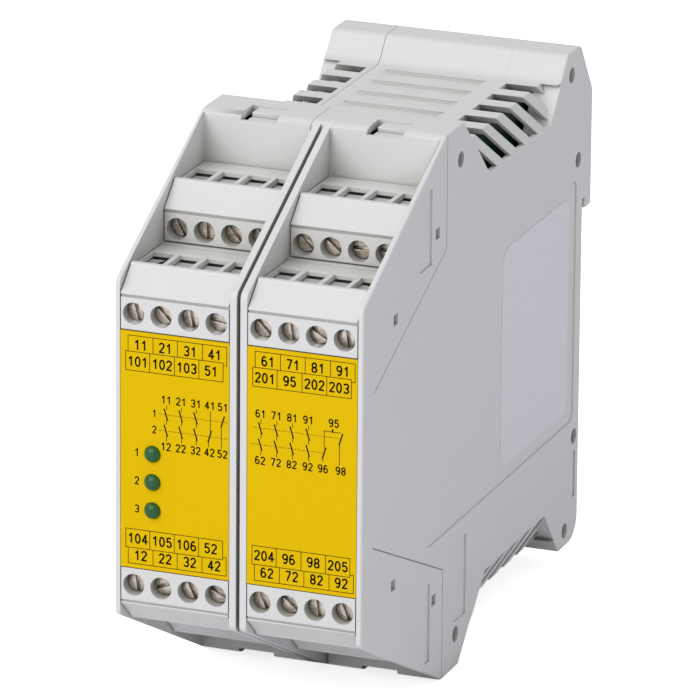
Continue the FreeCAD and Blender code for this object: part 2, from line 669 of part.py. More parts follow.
def label(module):
    """Thin printed sheet on the front of a plate."""
    middle = MODULES[module]
    half = BAY_WIDTH / 2 - PLATE_CLEARANCE
    sheet = box(middle - half, middle + half, 0, LABEL_THICKNESS, -PLATE_HALF, PLATE_HALF)
    return sheet.cut(light_holes(LIGHT_CLEARANCE)) if module == "left" else sheet


def indicator_light(z):
    """Round light with a tapered front, a collar behind the plate and two leads to the board."""
    body = Part.makeCylinder(LIGHT_RADIUS, LIGHT_BODY, V(LIGHT_X, 0, z), V(0, 1, 0))
    tip = Part.makeCone(LIGHT_RADIUS, LIGHT_TIP_RADIUS, LIGHT_PROUD, V(LIGHT_X, 0, z), V(0, -1, 0))
    collar = Part.makeCylinder(LIGHT_RADIUS + 0.4, 1.0, V(LIGHT_X, PLATE_BACK + SEAT_GAP, z), V(0, 1, 0))
    pieces = [body, tip, collar]
    half = LIGHT_LEAD / 2
    for x in (LIGHT_X - LIGHT_LEAD_SPACING / 2, LIGHT_X + LIGHT_LEAD_SPACING / 2):
        pieces.append(box(x - half, x + half, LIGHT_BODY - 0.5, BOARD_FRONT + 3, z - half, z + half))
    return fuse(pieces)


# ---------------------------------------------------------------- terminal plugs

def pole_positions():
    """Distances of the poles from the middle of a plug."""
    return [(i - (POLES - 1) / 2) * POLE_PITCH for i in range(POLES)]


def plug_profile(below):
    """Side view of a plug: screw face, slanted face, lip and the flat top with the wire entries."""
    slope_end = LIP_Y + (LIP_TOP - SLANT_END) * 0.4
    return [(0, -below, 0.2), (0, PLUG_FACE_TOP, 0), (NOTCH, PLUG_FACE_TOP, 0), (NOTCH, SLANT_START, 0),
            (-SLANT_PROUD, SLANT_START + 0.1, 0.15), (LIP_Y, SLANT_END, 0), (slope_end, LIP_TOP, 0),
            (slope_end + LIP_WIDTH * 0.7, LIP_TOP, 0), (LIP_Y + LIP_WIDTH, PLUG_TOP, 0),
            (PLUG_DEPTH, PLUG_TOP, 0.3), (PLUG_DEPTH, -below, 0.3)]


def wire_entry(x):
    """Funnel from the top of a plug down to its clamp cage."""
    low = CAGE_TOP - 0.1
    high = PLUG_TOP + 0.01
    wide = ENTRY_WIDTH / 2
    slim = wide - ENTRY_TAPER
    y0 = ENTRY_START
    y1 = ENTRY_START + ENTRY_LENGTH

    def rectangle(half, inset, z):
        return Part.makePolygon([V(x - half, y0 + inset, z), V(x + half, y0 + inset, z),
                                 V(x + half, y1 - inset, z), V(x - half, y1 - inset, z),
                                 V(x - half, y0 + inset, z)])

    return Part.makeLoft([rectangle(slim, ENTRY_TAPER, low), rectangle(wide, 0, high)], True)


def plug_body(below):
    """Moulded body of a plug with its screw holes, cage rooms, wire entries and pin bores."""
    body = prism(plug_profile(below), -PLUG_WIDTH / 2, PLUG_WIDTH / 2)
    cuts = []
    room_half = CAGE_HALF + CAGE_CLEARANCE
    room_start = CAGE_START - CAGE_CLEARANCE
    room_end = CAGE_START + CAGE_LENGTH + FORK_LENGTH + CAGE_CLEARANCE
    bore = PIN / 2 + PIN_CLEARANCE
    for x in pole_positions():
        cuts.append(Part.makeCylinder(SCREW_HOLE_RADIUS, CAGE_START, V(x, 0, 0), V(0, 1, 0)))
        cuts.append(box(x - room_half, x + room_half, room_start, room_end,
                        CAGE_BOTTOM - CAGE_CLEARANCE, CAGE_TOP + CAGE_CLEARANCE))
        cuts.append(box(x - bore, x + bore, room_end - 0.1, PLUG_DEPTH + 1, -bore, bore))
        cuts.append(wire_entry(x))
    return body.cut(cuts)


def clamp_screw(x, turn):
    """Slotted clamp screw; its slot leans over by turn degrees."""
    head = Part.makeCylinder(SCREW_HEAD_RADIUS, SCREW_HEAD_HEIGHT, V(x, SCREW_HEAD_FACE, 0), V(0, 1, 0))
    shank = Part.makeCylinder(SHANK_RADIUS, SHANK_LENGTH,
                              V(x, SCREW_HEAD_FACE + SCREW_HEAD_HEIGHT, 0), V(0, 1, 0))
    slot = box(-SCREW_SLOT / 2, SCREW_SLOT / 2, SCREW_HEAD_FACE - 1, SCREW_HEAD_FACE + SCREW_SLOT_DEPTH,
               -3, 3)
    slot.rotate(V(0, 0, 0), V(0, 1, 0), turn)
    slot.translate(V(x, 0, 0))
    return head.fuse(shank).removeSplitter().cut(slot)


def clamp_cage(x):
    """Clamp cage, drawn shut: a loop of strip whose top closes the wire entry but for a slit,
    forked over the screw's shank, with two contact leaves for the pin."""
    x0 = x - CAGE_HALF
    x1 = x + CAGE_HALF
    y1 = CAGE_START + CAGE_LENGTH
    cage = box(x0, x1, CAGE_START, y1, CAGE_BOTTOM, CAGE_TOP)
    way = box(x0 - 1, x1 + 1, CAGE_START + 2 * CAGE_WALL, y1 - CAGE_WALL,
              CAGE_BOTTOM + CAGE_WALL, CAGE_TOP - CAGE_WALL)
    fork = SHANK_RADIUS + SHANK_CLEARANCE
    cage = cage.cut([way, box(x - fork, x + fork, CAGE_START - 1, CAGE_START + 2 * CAGE_WALL + 0.1,
                              -fork, CAGE_TOP + 1)])
    leaves = []
    inner = PIN / 2 + PIN_CLEARANCE
    for sign in (-1, 1):
        low = min(sign * inner, sign * (inner + FORK_LEAF))
        leaves.append(box(x + low, x + low + FORK_LEAF, y1 - 0.2, y1 + FORK_LENGTH, -1.0, 1.0))
    return cage.fuse(leaves).removeSplitter()


def header_body(level):
    """Header behind a plug: a nose in the bay's end wall and a block behind it."""
    end = FRONT_POCKET_END
    half = BAY_WIDTH / 2 - 1.0 - HEADER_FIT
    block_half = BAY_WIDTH / 2 - HEADER_SIDE
    nose = box(-half, half, end, end + BAY_WALL + 0.2, -HEADER_NOSE_HALF + 0.8 + HEADER_FIT,
               HEADER_NOSE_HALF + 0.8 - HEADER_FIT)
    low = -HEADER_HEIGHT / 2
    block = box(-block_half, block_half, end + BAY_WALL + HEADER_FIT, end + BAY_WALL + HEADER_DEPTH,
                low, low + HEADER_HEIGHT)
    return fuse([nose, block]).cut(header_pins(HEADER_FIT / 2))


def header_pins(grow):
    """The pins of one header, made larger by grow on every side."""
    half = PIN / 2 + grow
    start = FRONT_POCKET_END - PIN_REACH
    end = FRONT_POCKET_END + BAY_WALL + HEADER_DEPTH + PIN_TAIL
    return [box(x - half, x + half, start, end, -half, half) for x in pole_positions()]


def place_in_bay(shape, module, side, level):
    """Moves a plug's piece from its own place to its level, module and side."""
    y, z, _ = LEVELS[level]
    moved = shape.copy()
    moved.translate(V(MODULES[module], y, z))
    return moved if side == "top" else flip(moved)


def terminals():
    """Plugs, clamp screws, clamp cages and headers of all eight places."""
    nodes = {}
    for module in MODULES:
        for side in ("top", "bottom"):
            pins = []
            mirrored = 1 if side == "top" else -1
            for level, (_, _, below) in LEVELS.items():
                name = f"{module}_{side}_{level}"
                screws = [clamp_screw(x, mirrored * turn)
                          for x, turn in zip(pole_positions(), SLOT_TURNS[name])]
                cages = [clamp_cage(x) for x in pole_positions()]
                place = (module, side, level)
                nodes[f"terminal_plug_{name}"] = [place_in_bay(plug_body(below), *place)]
                nodes[f"clamp_screws_{name}"] = [place_in_bay(s, *place) for s in screws]
                nodes[f"clamp_cages_{name}"] = [place_in_bay(c, *place) for c in cages]
                nodes[f"pin_header_{name}"] = [place_in_bay(header_body(level), *place)]
                pins += [place_in_bay(p, *place) for p in header_pins(0)]
            nodes[f"header_pins_{module}_{side}"] = pins
    return nodes


# ---------------------------------------------------------------- inside

def circuit_board():
    """Right circuit board: stepped to reach both header rows and the front plate."""
    header_end = FRONT_POCKET_END + BAY_WALL + HEADER_DEPTH + BOARD_GAP
    inner_rear = RAIL_SEAT - SKIN - BOARD_GAP
    reach = SCREW_ROW + PLUG_UP - HEADER_HEIGHT / 2 - BOARD_GAP
    half = [(BOARD_FRONT, FRONT_FLOOR - BAY_WALL - 1), (header_end, FRONT_FLOOR - BAY_WALL - 1),
            (header_end, reach), (header_end + PLUG_BACK, reach),
            (header_end + PLUG_BACK, VENT_Z - SKIN - BOARD_GAP),
            (inner_rear, VENT_Z - SKIN - BOARD_GAP)]
    outline = half + [(y, -z) for y, z in reversed(half)]
    return prism(sharp(outline), BOARD_INNER, BOARD_OUTER)


def relay_block(index):
    """Sealed relay on the right board."""
    deep, long = RELAY_SIZE
    y0 = RELAY_FIRST + index * RELAY_SPACING
    return box(BOARD_INNER - SEAT_GAP - deep, BOARD_INNER - SEAT_GAP, y0, y0 + long,
               -RELAY_HALF, RELAY_HALF)


def capacitors():
    """Round capacitors on the right board, above the relays."""
    cans = []
    for i in range(3):
        y = CAPACITOR_START + i * CAPACITOR_PITCH
        cans.append(Part.makeCylinder(CAPACITOR_RADIUS, CAPACITOR_HEIGHT,
                                      V(BOARD_INNER - SEAT_GAP - CAPACITOR_HEIGHT, y, CAPACITOR_Z),
                                      V(1, 0, 0)))
    return cans


def converter():
    """Power converter block on the left board, above the relays."""
    deep, long, tall = CONVERTER_SIZE
    x1 = -BOARD_INNER + SEAT_GAP
    return box(x1, x1 + deep, CONVERTER_START, CONVERTER_START + long,
               CAPACITOR_Z - tall / 2, CAPACITOR_Z + tall / 2)


def board_link():
    """Strip that joins the two boards behind the relays."""
    thick, tall = LINK_SIZE
    reach = BOARD_INNER - SEAT_GAP
    return box(-reach, reach, LINK_Y, LINK_Y + thick, -tall / 2, tall / 2)


# ---------------------------------------------------------------- rail foot

def rail_foot():
    """Sliding foot: a plate in the rear wall with a catch for the rail and a shelf for the spring."""
    rear = RAIL_SEAT - LATCH_PLAY
    front = rear - LATCH_THICKNESS
    top = -RAIL_WIDTH / 2 - RAIL_PLAY
    bottom = -FOOT_Z + LATCH_PLAY
    wide = box(-LATCH_HALF, LATCH_HALF, front, front + LATCH_FLANGE, bottom, top)
    neck = box(-LATCH_NECK_HALF, LATCH_NECK_HALF, front + 0.5, rear, bottom, top)
    catch = [(rear - 0.5, top), (HOOK_FACE, top), (HOOK_FACE, top + LATCH_LIP + RAIL_PLAY),
             (HOOK_FACE + LATCH_LIP, top), (HOOK_FACE + LATCH_LIP, top - LATCH_BRIDGE),
             (rear - 0.5, top - LATCH_BRIDGE)]
    lip = prism(sharp(catch), -LATCH_NECK_HALF, LATCH_NECK_HALF)
    shelf = box(-LATCH_SHELF_HALF, LATCH_SHELF_HALF, front - LATCH_SHELF_REACH, front + 0.5,
                LATCH_SHELF_Z - LATCH_SHELF_THICKNESS, LATCH_SHELF_Z)
    slot_wide, slot_tall = TOOL_SLOT
    slot = box(-slot_wide / 2, slot_wide / 2, front - 1, rear + 1, bottom + 1.5, bottom + 1.5 + slot_tall)
    return fuse([wide, neck, lip, shelf]).cut(slot)


def foot_spring():
    """Folded strip spring between the foot's shelf and the ledge below it."""
    high = LATCH_SHELF_Z - LATCH_SHELF_THICKNESS - SEAT_GAP
    low = LATCH_SHELF_Z - LATCH_SHELF_THICKNESS - SPRING_HEIGHT + SEAT_GAP
    step = (high - low - SPRING_STRIP) / SPRING_BENDS
    middle = RAIL_SEAT - 2 * LATCH_PLAY - LATCH_THICKNESS - SKIN - 0.6 - SPRING_WIDTH
    strips = []
    for i in range(SPRING_BENDS):
        z0 = low + i * step
        lean = SPRING_HALF if i % 2 == 0 else -SPRING_HALF
        corners = [V(-lean, middle, z0), V(lean, middle, z0 + step),
                   V(lean, middle, z0 + step + SPRING_STRIP), V(-lean, middle, z0 + SPRING_STRIP)]
        strips.append(Part.Face(Part.makePolygon(corners + corners[:1])).extrude(V(0, SPRING_WIDTH, 0)))
    return fuse(strips)


def side_sticker():
    """Thin bare sticker in the sunk field of the right wall."""
    y1 = DEPTH - STICKER_BACK
    y0 = y1 - STICKER_LENGTH
    half = STICKER_HALF
    corners = [(y0, -half, STICKER_RADIUS), (y0, half, STICKER_RADIUS), (y1, half, STICKER_RADIUS),
               (y1, -half, STICKER_RADIUS)]
    base = HALF_WIDTH - FIELD_DEPTH
    return prism(corners, base, base + STICKER_THICKNESS)


# ---------------------------------------------------------------- the whole relay

def build():
    """Every piece by name, each as a list of solids."""
    nodes = {name: [shape] for name, shape in divide(housing()).items()}
    for module in MODULES:
        nodes[f"front_plate_{module}"] = [front_plate(module)]
        nodes[f"label_{module}"] = [label(module)]
    for name, z in zip(("power", "channel_one", "channel_two"), light_heights()):
        nodes[f"indicator_light_{name}"] = [indicator_light(z)]
    nodes.update(terminals())
    board = circuit_board()
    right_relays = [relay_block(0), relay_block(1)]
    nodes["circuit_board_right"] = [board]
    nodes["circuit_board_left"] = [both_sides(board)[1]]
    nodes["relays_right"] = right_relays
    nodes["relays_left"] = [both_sides(relay)[1] for relay in right_relays]
    nodes["capacitors"] = capacitors()
    nodes["power_converter"] = [converter()]
    nodes["board_link"] = [board_link()]
    nodes["rail_foot"] = [rail_foot()]
    nodes["foot_spring"] = [foot_spring()]
    nodes["side_sticker"] = [side_sticker()]
    return nodes


def main():
    """Writes one STEP file per piece, with the origin at the centre of the rail seat."""
    os.makedirs("parts", exist_ok=True)
    for name, shapes in build().items():
        solids = [solid for shape in shapes for solid in shape.Solids]
        placed = Part.makeCompound(solids) if len(solids) > 1 else solids[0]
        placed.translate(V(0, -RAIL_SEAT, 0))
        placed.exportStep(f"parts/{name}.step")
        print(name, len(solids), round(sum(s.Volume for s in solids), 1))


main()
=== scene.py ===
"""Looks of the safety relay: finishes, moulded edges, clamp screws, lights and label print.

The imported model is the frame.  Every piece made here sits in that frame, in metres: x to the
right seen from the front, y from the front towards the rail, z upwards, with the origin at the
centre of the rail seat.
"""
import logging
import math
from dataclasses import dataclass, field
from enum import Enum

import bmesh
import bpy
from mathutils import Matrix, Vector


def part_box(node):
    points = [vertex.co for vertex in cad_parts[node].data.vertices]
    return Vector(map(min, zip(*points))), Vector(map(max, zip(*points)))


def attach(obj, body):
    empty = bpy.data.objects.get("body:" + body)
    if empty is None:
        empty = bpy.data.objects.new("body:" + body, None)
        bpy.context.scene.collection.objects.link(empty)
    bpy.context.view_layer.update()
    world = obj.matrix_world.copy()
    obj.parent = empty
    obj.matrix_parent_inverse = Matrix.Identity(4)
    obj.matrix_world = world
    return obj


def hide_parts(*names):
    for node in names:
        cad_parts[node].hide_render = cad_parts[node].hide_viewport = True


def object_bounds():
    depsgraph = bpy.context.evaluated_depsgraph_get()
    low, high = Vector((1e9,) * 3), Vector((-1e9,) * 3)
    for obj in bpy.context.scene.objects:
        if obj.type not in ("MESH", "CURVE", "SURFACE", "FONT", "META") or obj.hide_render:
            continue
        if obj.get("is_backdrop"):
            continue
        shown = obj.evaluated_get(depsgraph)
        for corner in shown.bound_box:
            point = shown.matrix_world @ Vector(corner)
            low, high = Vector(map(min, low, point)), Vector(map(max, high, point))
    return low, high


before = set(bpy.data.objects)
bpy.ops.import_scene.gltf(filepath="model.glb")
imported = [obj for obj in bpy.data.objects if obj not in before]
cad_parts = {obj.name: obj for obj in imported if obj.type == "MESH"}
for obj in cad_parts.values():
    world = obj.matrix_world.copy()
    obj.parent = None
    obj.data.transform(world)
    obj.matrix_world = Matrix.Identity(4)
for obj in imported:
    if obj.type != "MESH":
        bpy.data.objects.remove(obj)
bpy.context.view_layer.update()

log = logging.getLogger("relay")

MM = 0.001
NODES: dict[str, bpy.types.Object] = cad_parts

QUARTER_TURN = math.radians(90)
FACING_FRONT = (QUARTER_TURN, 0, 0)    # lays an upright form down along y

SMOOTH_DEGREES = 32.0      # edges of mouldings that are flatter than this are smoothed over
ROUND_DEGREES = 35.0       # the same for screws and lights
ROUND_SIDES = 40           # facets round a screw or a light
MERGE_MM = 0.001           # corners closer than this are one
FLAT_DEGREES = 0.5         # facets that turn less than this are one face
SEAM_NEAR = 0.08           # millimetres from a seam's plane that still count as on the seam
SAME_LEVEL = 1e-6          # metres between places that count as one

FRONT_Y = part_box("label_left")[0][1] / MM      # the labels' face, in millimetres
POLES = 4
POLE_PITCH = 5.0
FRONT_SEAM = 2.0           # half width of the middle frame between the two bays
INK_THICKNESS_MM = 0.01
LIGHTS = ("power", "channel_one", "channel_two")


class Module(Enum):
    """The two halves of the front, by the name that their nodes carry."""

    LEFT = "left"
    RIGHT = "right"


class Side(Enum):
    """The upper and the lower terminals, by the name that their nodes carry."""

    TOP = "top"
    BOTTOM = "bottom"


class Level(Enum):
    """The front and the rear row of terminals."""

    FRONT = "front"
    REAR = "rear"


# ------------------------------------------------------------------ helpers


def linear(colour: str) -> tuple[float, float, float, float]:
    """Turns an sRGB hex colour into linear RGBA.

    Args:
        colour: six hex digits, with or without a leading hash.

    Returns:
        Linear red, green and blue, with an alpha of one.
    """
    digits = colour.lstrip("#")
    parts = [int(digits[i:i + 2], 16) / 255 for i in (0, 2, 4)]
    steps = [c / 12.92 if c <= 0.04045 else ((c + 0.055) / 1.055) ** 2.4 for c in parts]
    return (steps[0], steps[1], steps[2], 1.0)


def add_node(tree: bpy.types.NodeTree, kind: str, values: dict | None = None,
             links: dict | None = None, **settings: object) -> bpy.types.Node:
    """Adds a shader node with its socket values, its incoming links and its own settings.

    Args:
        tree: node tree that the node goes into.
        kind: Blender's name of the node type.
        values: constant values by input socket name or number.
        links: output sockets of other nodes by input socket name or number.
        settings: attributes of the node itself.

    Returns:
        The new node.
    """
    node = tree.nodes.new(kind)
    for name, setting in settings.items():
        setattr(node, name, setting)
    for socket, value in (values or {}).items():
        node.inputs[socket].default_value = value
    for socket, source in (links or {}).items():
        tree.links.new(source, node.inputs[socket])
    return node


def cells_per_metre(size_mm: float) -> float:
    """Noise scale whose cells are about size_mm wide."""
    return 1000.0 / size_mm


def deselect() -> None:
    """Leaves object mode with nothing selected."""
    if bpy.context.object is not None and bpy.context.object.mode != "OBJECT":
        bpy.ops.object.mode_set(mode="OBJECT")
    bpy.ops.object.select_all(action="DESELECT")


def activate(piece: bpy.types.Object) -> None:
    """Makes a piece the only selected object and the active one.

    Args:
        piece: object to work on.
    """
    deselect()
    piece.select_set(True)
    bpy.context.view_layer.objects.active = piece


def settle(piece: bpy.types.Object) -> None:
    """Applies a piece's place, turn and size, so that its object sits at the origin."""
    activate(piece)
    bpy.ops.object.transform_apply(location=True, rotation=True, scale=True)


def duplicate(piece: bpy.types.Object, name: str) -> bpy.types.Object:
    """Copies a piece together with its mesh.

    Args:
        piece: mesh object to copy.
        name: name of the copy and of its mesh.

    Returns:
        The copy, linked to the scene.
    """
    copy = piece.copy()
    copy.data = piece.data.copy()
    copy.name = name
    copy.data.name = name
    bpy.context.scene.collection.objects.link(copy)
    return copy


def apply_modifiers(piece: bpy.types.Object) -> None:
    """Applies all modifiers of a piece, in order.

    Args:
        piece: object whose modifiers become part of its mesh.
    """
    activate(piece)
    for modifier in list(piece.modifiers):
        bpy.ops.object.modifier_apply(modifier=modifier.name)


def shade(piece: bpy.types.Object, angle: float) -> None:
    """Smooths a piece over edges flatter than the angle, in degrees."""
    activate(piece)
    bpy.ops.object.shade_smooth_by_angle(angle=math.radians(angle))


def join(pieces: list[bpy.types.Object], name: str) -> bpy.types.Object:
    """Joins pieces into one object.

    Args:
        pieces: mesh objects, the first of which stays.
        name: name of the joined object.

    Returns:
        The joined object, at the origin.
    """
    deselect()
    for piece in pieces:
        piece.select_set(True)
    bpy.context.view_layer.objects.active = pieces[0]
    if len(pieces) > 1:
        bpy.ops.object.join()
    joined = bpy.context.view_layer.objects.active
    joined.name = name
    joined.data.name = name
    settle(joined)
    return joined


def dress(piece: bpy.types.Object, finish: bpy.types.Material, body: str) -> None:
    """Gives a new piece its finish, in one material slot, and the body it rides on.

    Args:
        piece: mesh object made here.
        finish: material that it wears.
        body: name of the body that it moves with.
    """
    piece.data.materials.clear()
    piece.data.materials.append(finish)
    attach(piece, body)


def middle_of(node: str) -> Vector:
    """Middle of a node's box, in millimetres."""
    low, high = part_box(node)
    return (Vector(low) + Vector(high)) / 2 / MM


# ------------------------------------------------------------------ finishes


# Sockets of the colour mixing node, by number because their names repeat
MIX_SHARE, MIX_FIRST, MIX_SECOND, MIX_RESULT = 0, 6, 7, 2


class Surface:
    """A material in the making: its node tree, its Principled shader and its coordinates."""

    def __init__(self, name: str, colour: str, roughness: float) -> None:
        """Starts a plain material.

        Args:
            name: what the finish is called.
            colour: sRGB hex colour.
            roughness: how rough the surface is.
        """
        self.material = bpy.data.materials.new(name)
        self.material.use_nodes = True
        self.material.diffuse_color = linear(colour)
        self.roughness = roughness
        self.tree = self.material.node_tree
        self.tree.nodes.clear()
        self.shader = add_node(self.tree, "ShaderNodeBsdfPrincipled",
                               {"Base Color": linear(colour), "Roughness": roughness})
        add_node(self.tree, "ShaderNodeOutputMaterial",
                 links={"Surface": self.shader.outputs["BSDF"]})
        self.place = add_node(self.tree, "ShaderNodeTexCoord").outputs["Object"]

    def set(self, name: str, value: float | tuple[float, float, float]) -> None:
        """Sets one of the shader's values."""
        self.shader.inputs[name].default_value = value

    def feed(self, name: str, source: bpy.types.NodeSocket) -> None:
        """Links one of the shader's inputs to a source."""
        self.tree.links.new(source, self.shader.inputs[name])

    def noise(self, size_mm: float, detail: float, roughness: float = 0.5,
              place: bpy.types.NodeSocket | None = None) -> bpy.types.NodeSocket:
        """Adds noise over the piece.

        Args:
            size_mm: width of its patches.
            detail: how many finer layers it has.
            roughness: how strong the finer layers are.
            place: coordinates to use in place of the piece's own.

        Returns:
            The noise, from nought to one.
        """
        node = add_node(self.tree, "ShaderNodeTexNoise",
                        {"Scale": cells_per_metre(size_mm), "Detail": detail,
                         "Roughness": roughness},
                        {"Vector": self.place if place is None else place})
        return node.outputs["Fac"]

    def mapped(self, **values: tuple[float, float, float]) -> bpy.types.NodeSocket:
        """The piece's coordinates, turned or scaled."""
        node = add_node(self.tree, "ShaderNodeMapping", values, {"Vector": self.place})
        return node.outputs["Vector"]

    def spread(self, source: bpy.types.NodeSocket, start: float = 0.0, end: float = 1.0,
               low: float = 0.0, high: float = 1.0) -> bpy.types.NodeSocket:
        """Stretches a source, so that start to end becomes low to high.

        Args:
            source: value to stretch.
            start: value that becomes low.
            end: value that becomes high.
            low: lower end of the result.
            high: upper end of the result.

        Returns:
            The stretched value.
        """
        node = add_node(self.tree, "ShaderNodeMapRange",
                        {"From Min": start, "From Max": end, "To Min": low, "To Max": high},
                        {"Value": source})
        return node.outputs["Result"]

    def blend(self, share: bpy.types.NodeSocket, first: str,
              second: str | bpy.types.NodeSocket) -> bpy.types.NodeSocket:
        """Blends a colour into another colour, or into a source, by a share.

        Args:
            share: how much of the second there is.
            first: sRGB hex colour.
            second: sRGB hex colour, or an output that gives a colour.

        Returns:
            The blended colour.
        """
        values, links = {MIX_FIRST: linear(first)}, {MIX_SHARE: share}
        if isinstance(second, str):
            values[MIX_SECOND] = linear(second)
        else:
            links[MIX_SECOND] = second
        node = add_node(self.tree, "ShaderNodeMix", values, links, data_type="RGBA")
        return node.outputs[MIX_RESULT]

    def vary_gloss(self, source: bpy.types.NodeSocket, smoother: float, rougher: float) -> None:
        """Lets the roughness follow a source, within bounds on both sides of its own value."""
        self.feed("Roughness", self.spread(source, low=self.roughness - smoother,
                                           high=self.roughness + rougher))

    def bump(self, height: bpy.types.NodeSocket, strength: float, depth_mm: float) -> None:
        """Makes the surface look raised where a source is high.

        Args:
            height: output that gives the height.
            strength: share of the relief that is seen.
            depth_mm: depth of the relief.
        """
        node = add_node(self.tree, "ShaderNodeBump",
                        {"Strength": strength, "Distance": depth_mm * MM}, {"Height": height})
        self.feed("Normal", node.outputs["Normal"])


@dataclass(frozen=True)
class Finish:
    """A finish: what it is called, its colour and how rough its surface is."""

    name: str
    colour: str
    roughness: float

    def start(self) -> Surface:
        """Starts the material."""
        return Surface(self.name, self.colour, self.roughness)


@dataclass(frozen=True)
class MouldedPlastic(Finish):
    """Injection-moulded polyamide or ABS from a spark-eroded tool: matt, with a very fine grain,
    and painted shade in its hollows.
    """

    shade: str = "#D8D8D6"
    grain_mm: float = 0.45
    grain_depth_mm: float = 0.006
    cloud_mm: float = 16.0
    # painted shade: the colour that hollows, creases and gaps between parts are darkened towards
    painted_hollow_shade: str = "#A3A197"
    hollow_mm: float = 9.0
    hollow_rays: int = 6
    shut_level: float = 0.08       # openness at which a hollow has its full painted shade
    open_level: float = 0.68       # openness from which the surface has its own colour

    def build(self) -> bpy.types.Material:
        """Makes the material: faint clouding, painted shade deep in hollows and a fine bump.

        Returns:
            The material.
        """
        surface = self.start()
        cloud = surface.noise(self.cloud_mm, detail=3.0, roughness=0.55)
        clouded = surface.blend(cloud, self.colour, self.shade)
        # painted shade: ambient occlusion darkens the colour wherever little open space is near, as
        # in recesses and seams
        hollow = add_node(surface.tree, "ShaderNodeAmbientOcclusion",
                          {"Distance": self.hollow_mm * MM}, samples=self.hollow_rays)
        openness = surface.spread(hollow.outputs["AO"], self.shut_level, self.open_level)
        surface.feed("Base Color", surface.blend(openness, self.painted_hollow_shade, clouded))
        grain = surface.noise(self.grain_mm, detail=2.0, roughness=0.6)
        surface.vary_gloss(grain, smoother=0.05, rougher=0.07)
        surface.bump(grain, strength=0.5, depth_mm=self.grain_depth_mm)
        return surface.material


@dataclass(frozen=True)
class PrintedFilm(Finish):
    """Screen-printed polyester film: an even, slightly glossy colour with a trace of mottling."""

    shade: str = "#E0B600"
    mottle_mm: float = 2.5
    sheen: float = 0.5

    def build(self) -> bpy.types.Material:
        """Makes the material: two close colours mottled together under a clear surface.

        Returns:
            The material.
        """
        surface = self.start()
        surface.set("Specular IOR Level", self.sheen)
        mottle = surface.noise(self.mottle_mm, detail=4.0, roughness=0.6)
        surface.feed("Base Color", surface.blend(mottle, self.colour, self.shade))
        surface.vary_gloss(mottle, smoother=0.04, rougher=0.06)
        return surface.material


@dataclass(frozen=True)
class PlatedSteel(Finish):
    """Nickel-plated steel: a warm grey metal with fine tool marks that break up its reflections."""

    stain: str = "#8A7F74"
    patch_mm: float = 1.4
    mark_mm: float = 0.12
    stretch: tuple[float, float, float] = (1.0, 1.0, 0.12)
    mark_depth_mm: float = 0.004

    def build(self) -> bpy.types.Material:
        """Makes the material: a metal with stretched scratches and a patchy tarnish.

        Returns:
            The material.
        """
        surface = self.start()
        surface.set("Metallic", 1.0)
        patches = surface.noise(self.patch_mm, detail=4.0, roughness=0.65)
        tarnish = surface.spread(patches, start=0.38, end=0.72)
        surface.feed("Base Color", surface.blend(tarnish, self.colour, self.stain))
        marks = surface.noise(self.mark_mm, detail=3.0, roughness=0.7,
                              place=surface.mapped(Scale=self.stretch))
        surface.vary_gloss(marks, smoother=0.1, rougher=0.15)
        surface.bump(marks, strength=0.6, depth_mm=self.mark_depth_mm)
        return surface.material


@dataclass(frozen=True)
class TintedLens(Finish):
    """Diffused green epoxy of an unlit light: a deep colour under a glossy dome."""

    haze_mm: float = 0.8

    def build(self) -> bpy.types.Material:
        """Makes the material: a milky green that glows a little where light enters it.

        Returns:
            The material.
        """
        surface = self.start()
        surface.set("Subsurface Weight", 0.35)
        surface.set("Subsurface Radius", (0.2, 1.0, 0.35))
        surface.set("Subsurface Scale", 0.8 * MM)
        surface.set("Coat Weight", 0.12)
        surface.set("Coat Roughness", 0.3)
        surface.vary_gloss(surface.noise(self.haze_mm, detail=2.0), smoother=0.0, rougher=0.1)
        return surface.material


@dataclass(frozen=True)
class BoardLaminate(Finish):
    """Green solder mask over copper: darker laminate between paler raised tracks."""

    track: str = "#1E5A38"
    track_mm: float = 1.1
    track_depth_mm: float = 0.03

    def build(self) -> bpy.types.Material:
        """Makes the material: tracks that show through the mask and stand out a little.

        Returns:
            The material.
        """
        surface = self.start()
        tracks = add_node(surface.tree, "ShaderNodeTexBrick",
                          {"Scale": cells_per_metre(self.track_mm * 4), "Mortar Size": 0.03,
                           "Mortar Smooth": 0.1, "Brick Width": 1.7, "Row Height": 0.3},
                          {"Vector": surface.mapped(Rotation=(0.0, QUARTER_TURN, 0.0))})
        surface.feed("Base Color",
                     surface.blend(tracks.outputs["Fac"], self.colour, self.track))
        surface.bump(tracks.outputs["Fac"], strength=0.4, depth_mm=self.track_depth_mm)
        return surface.material


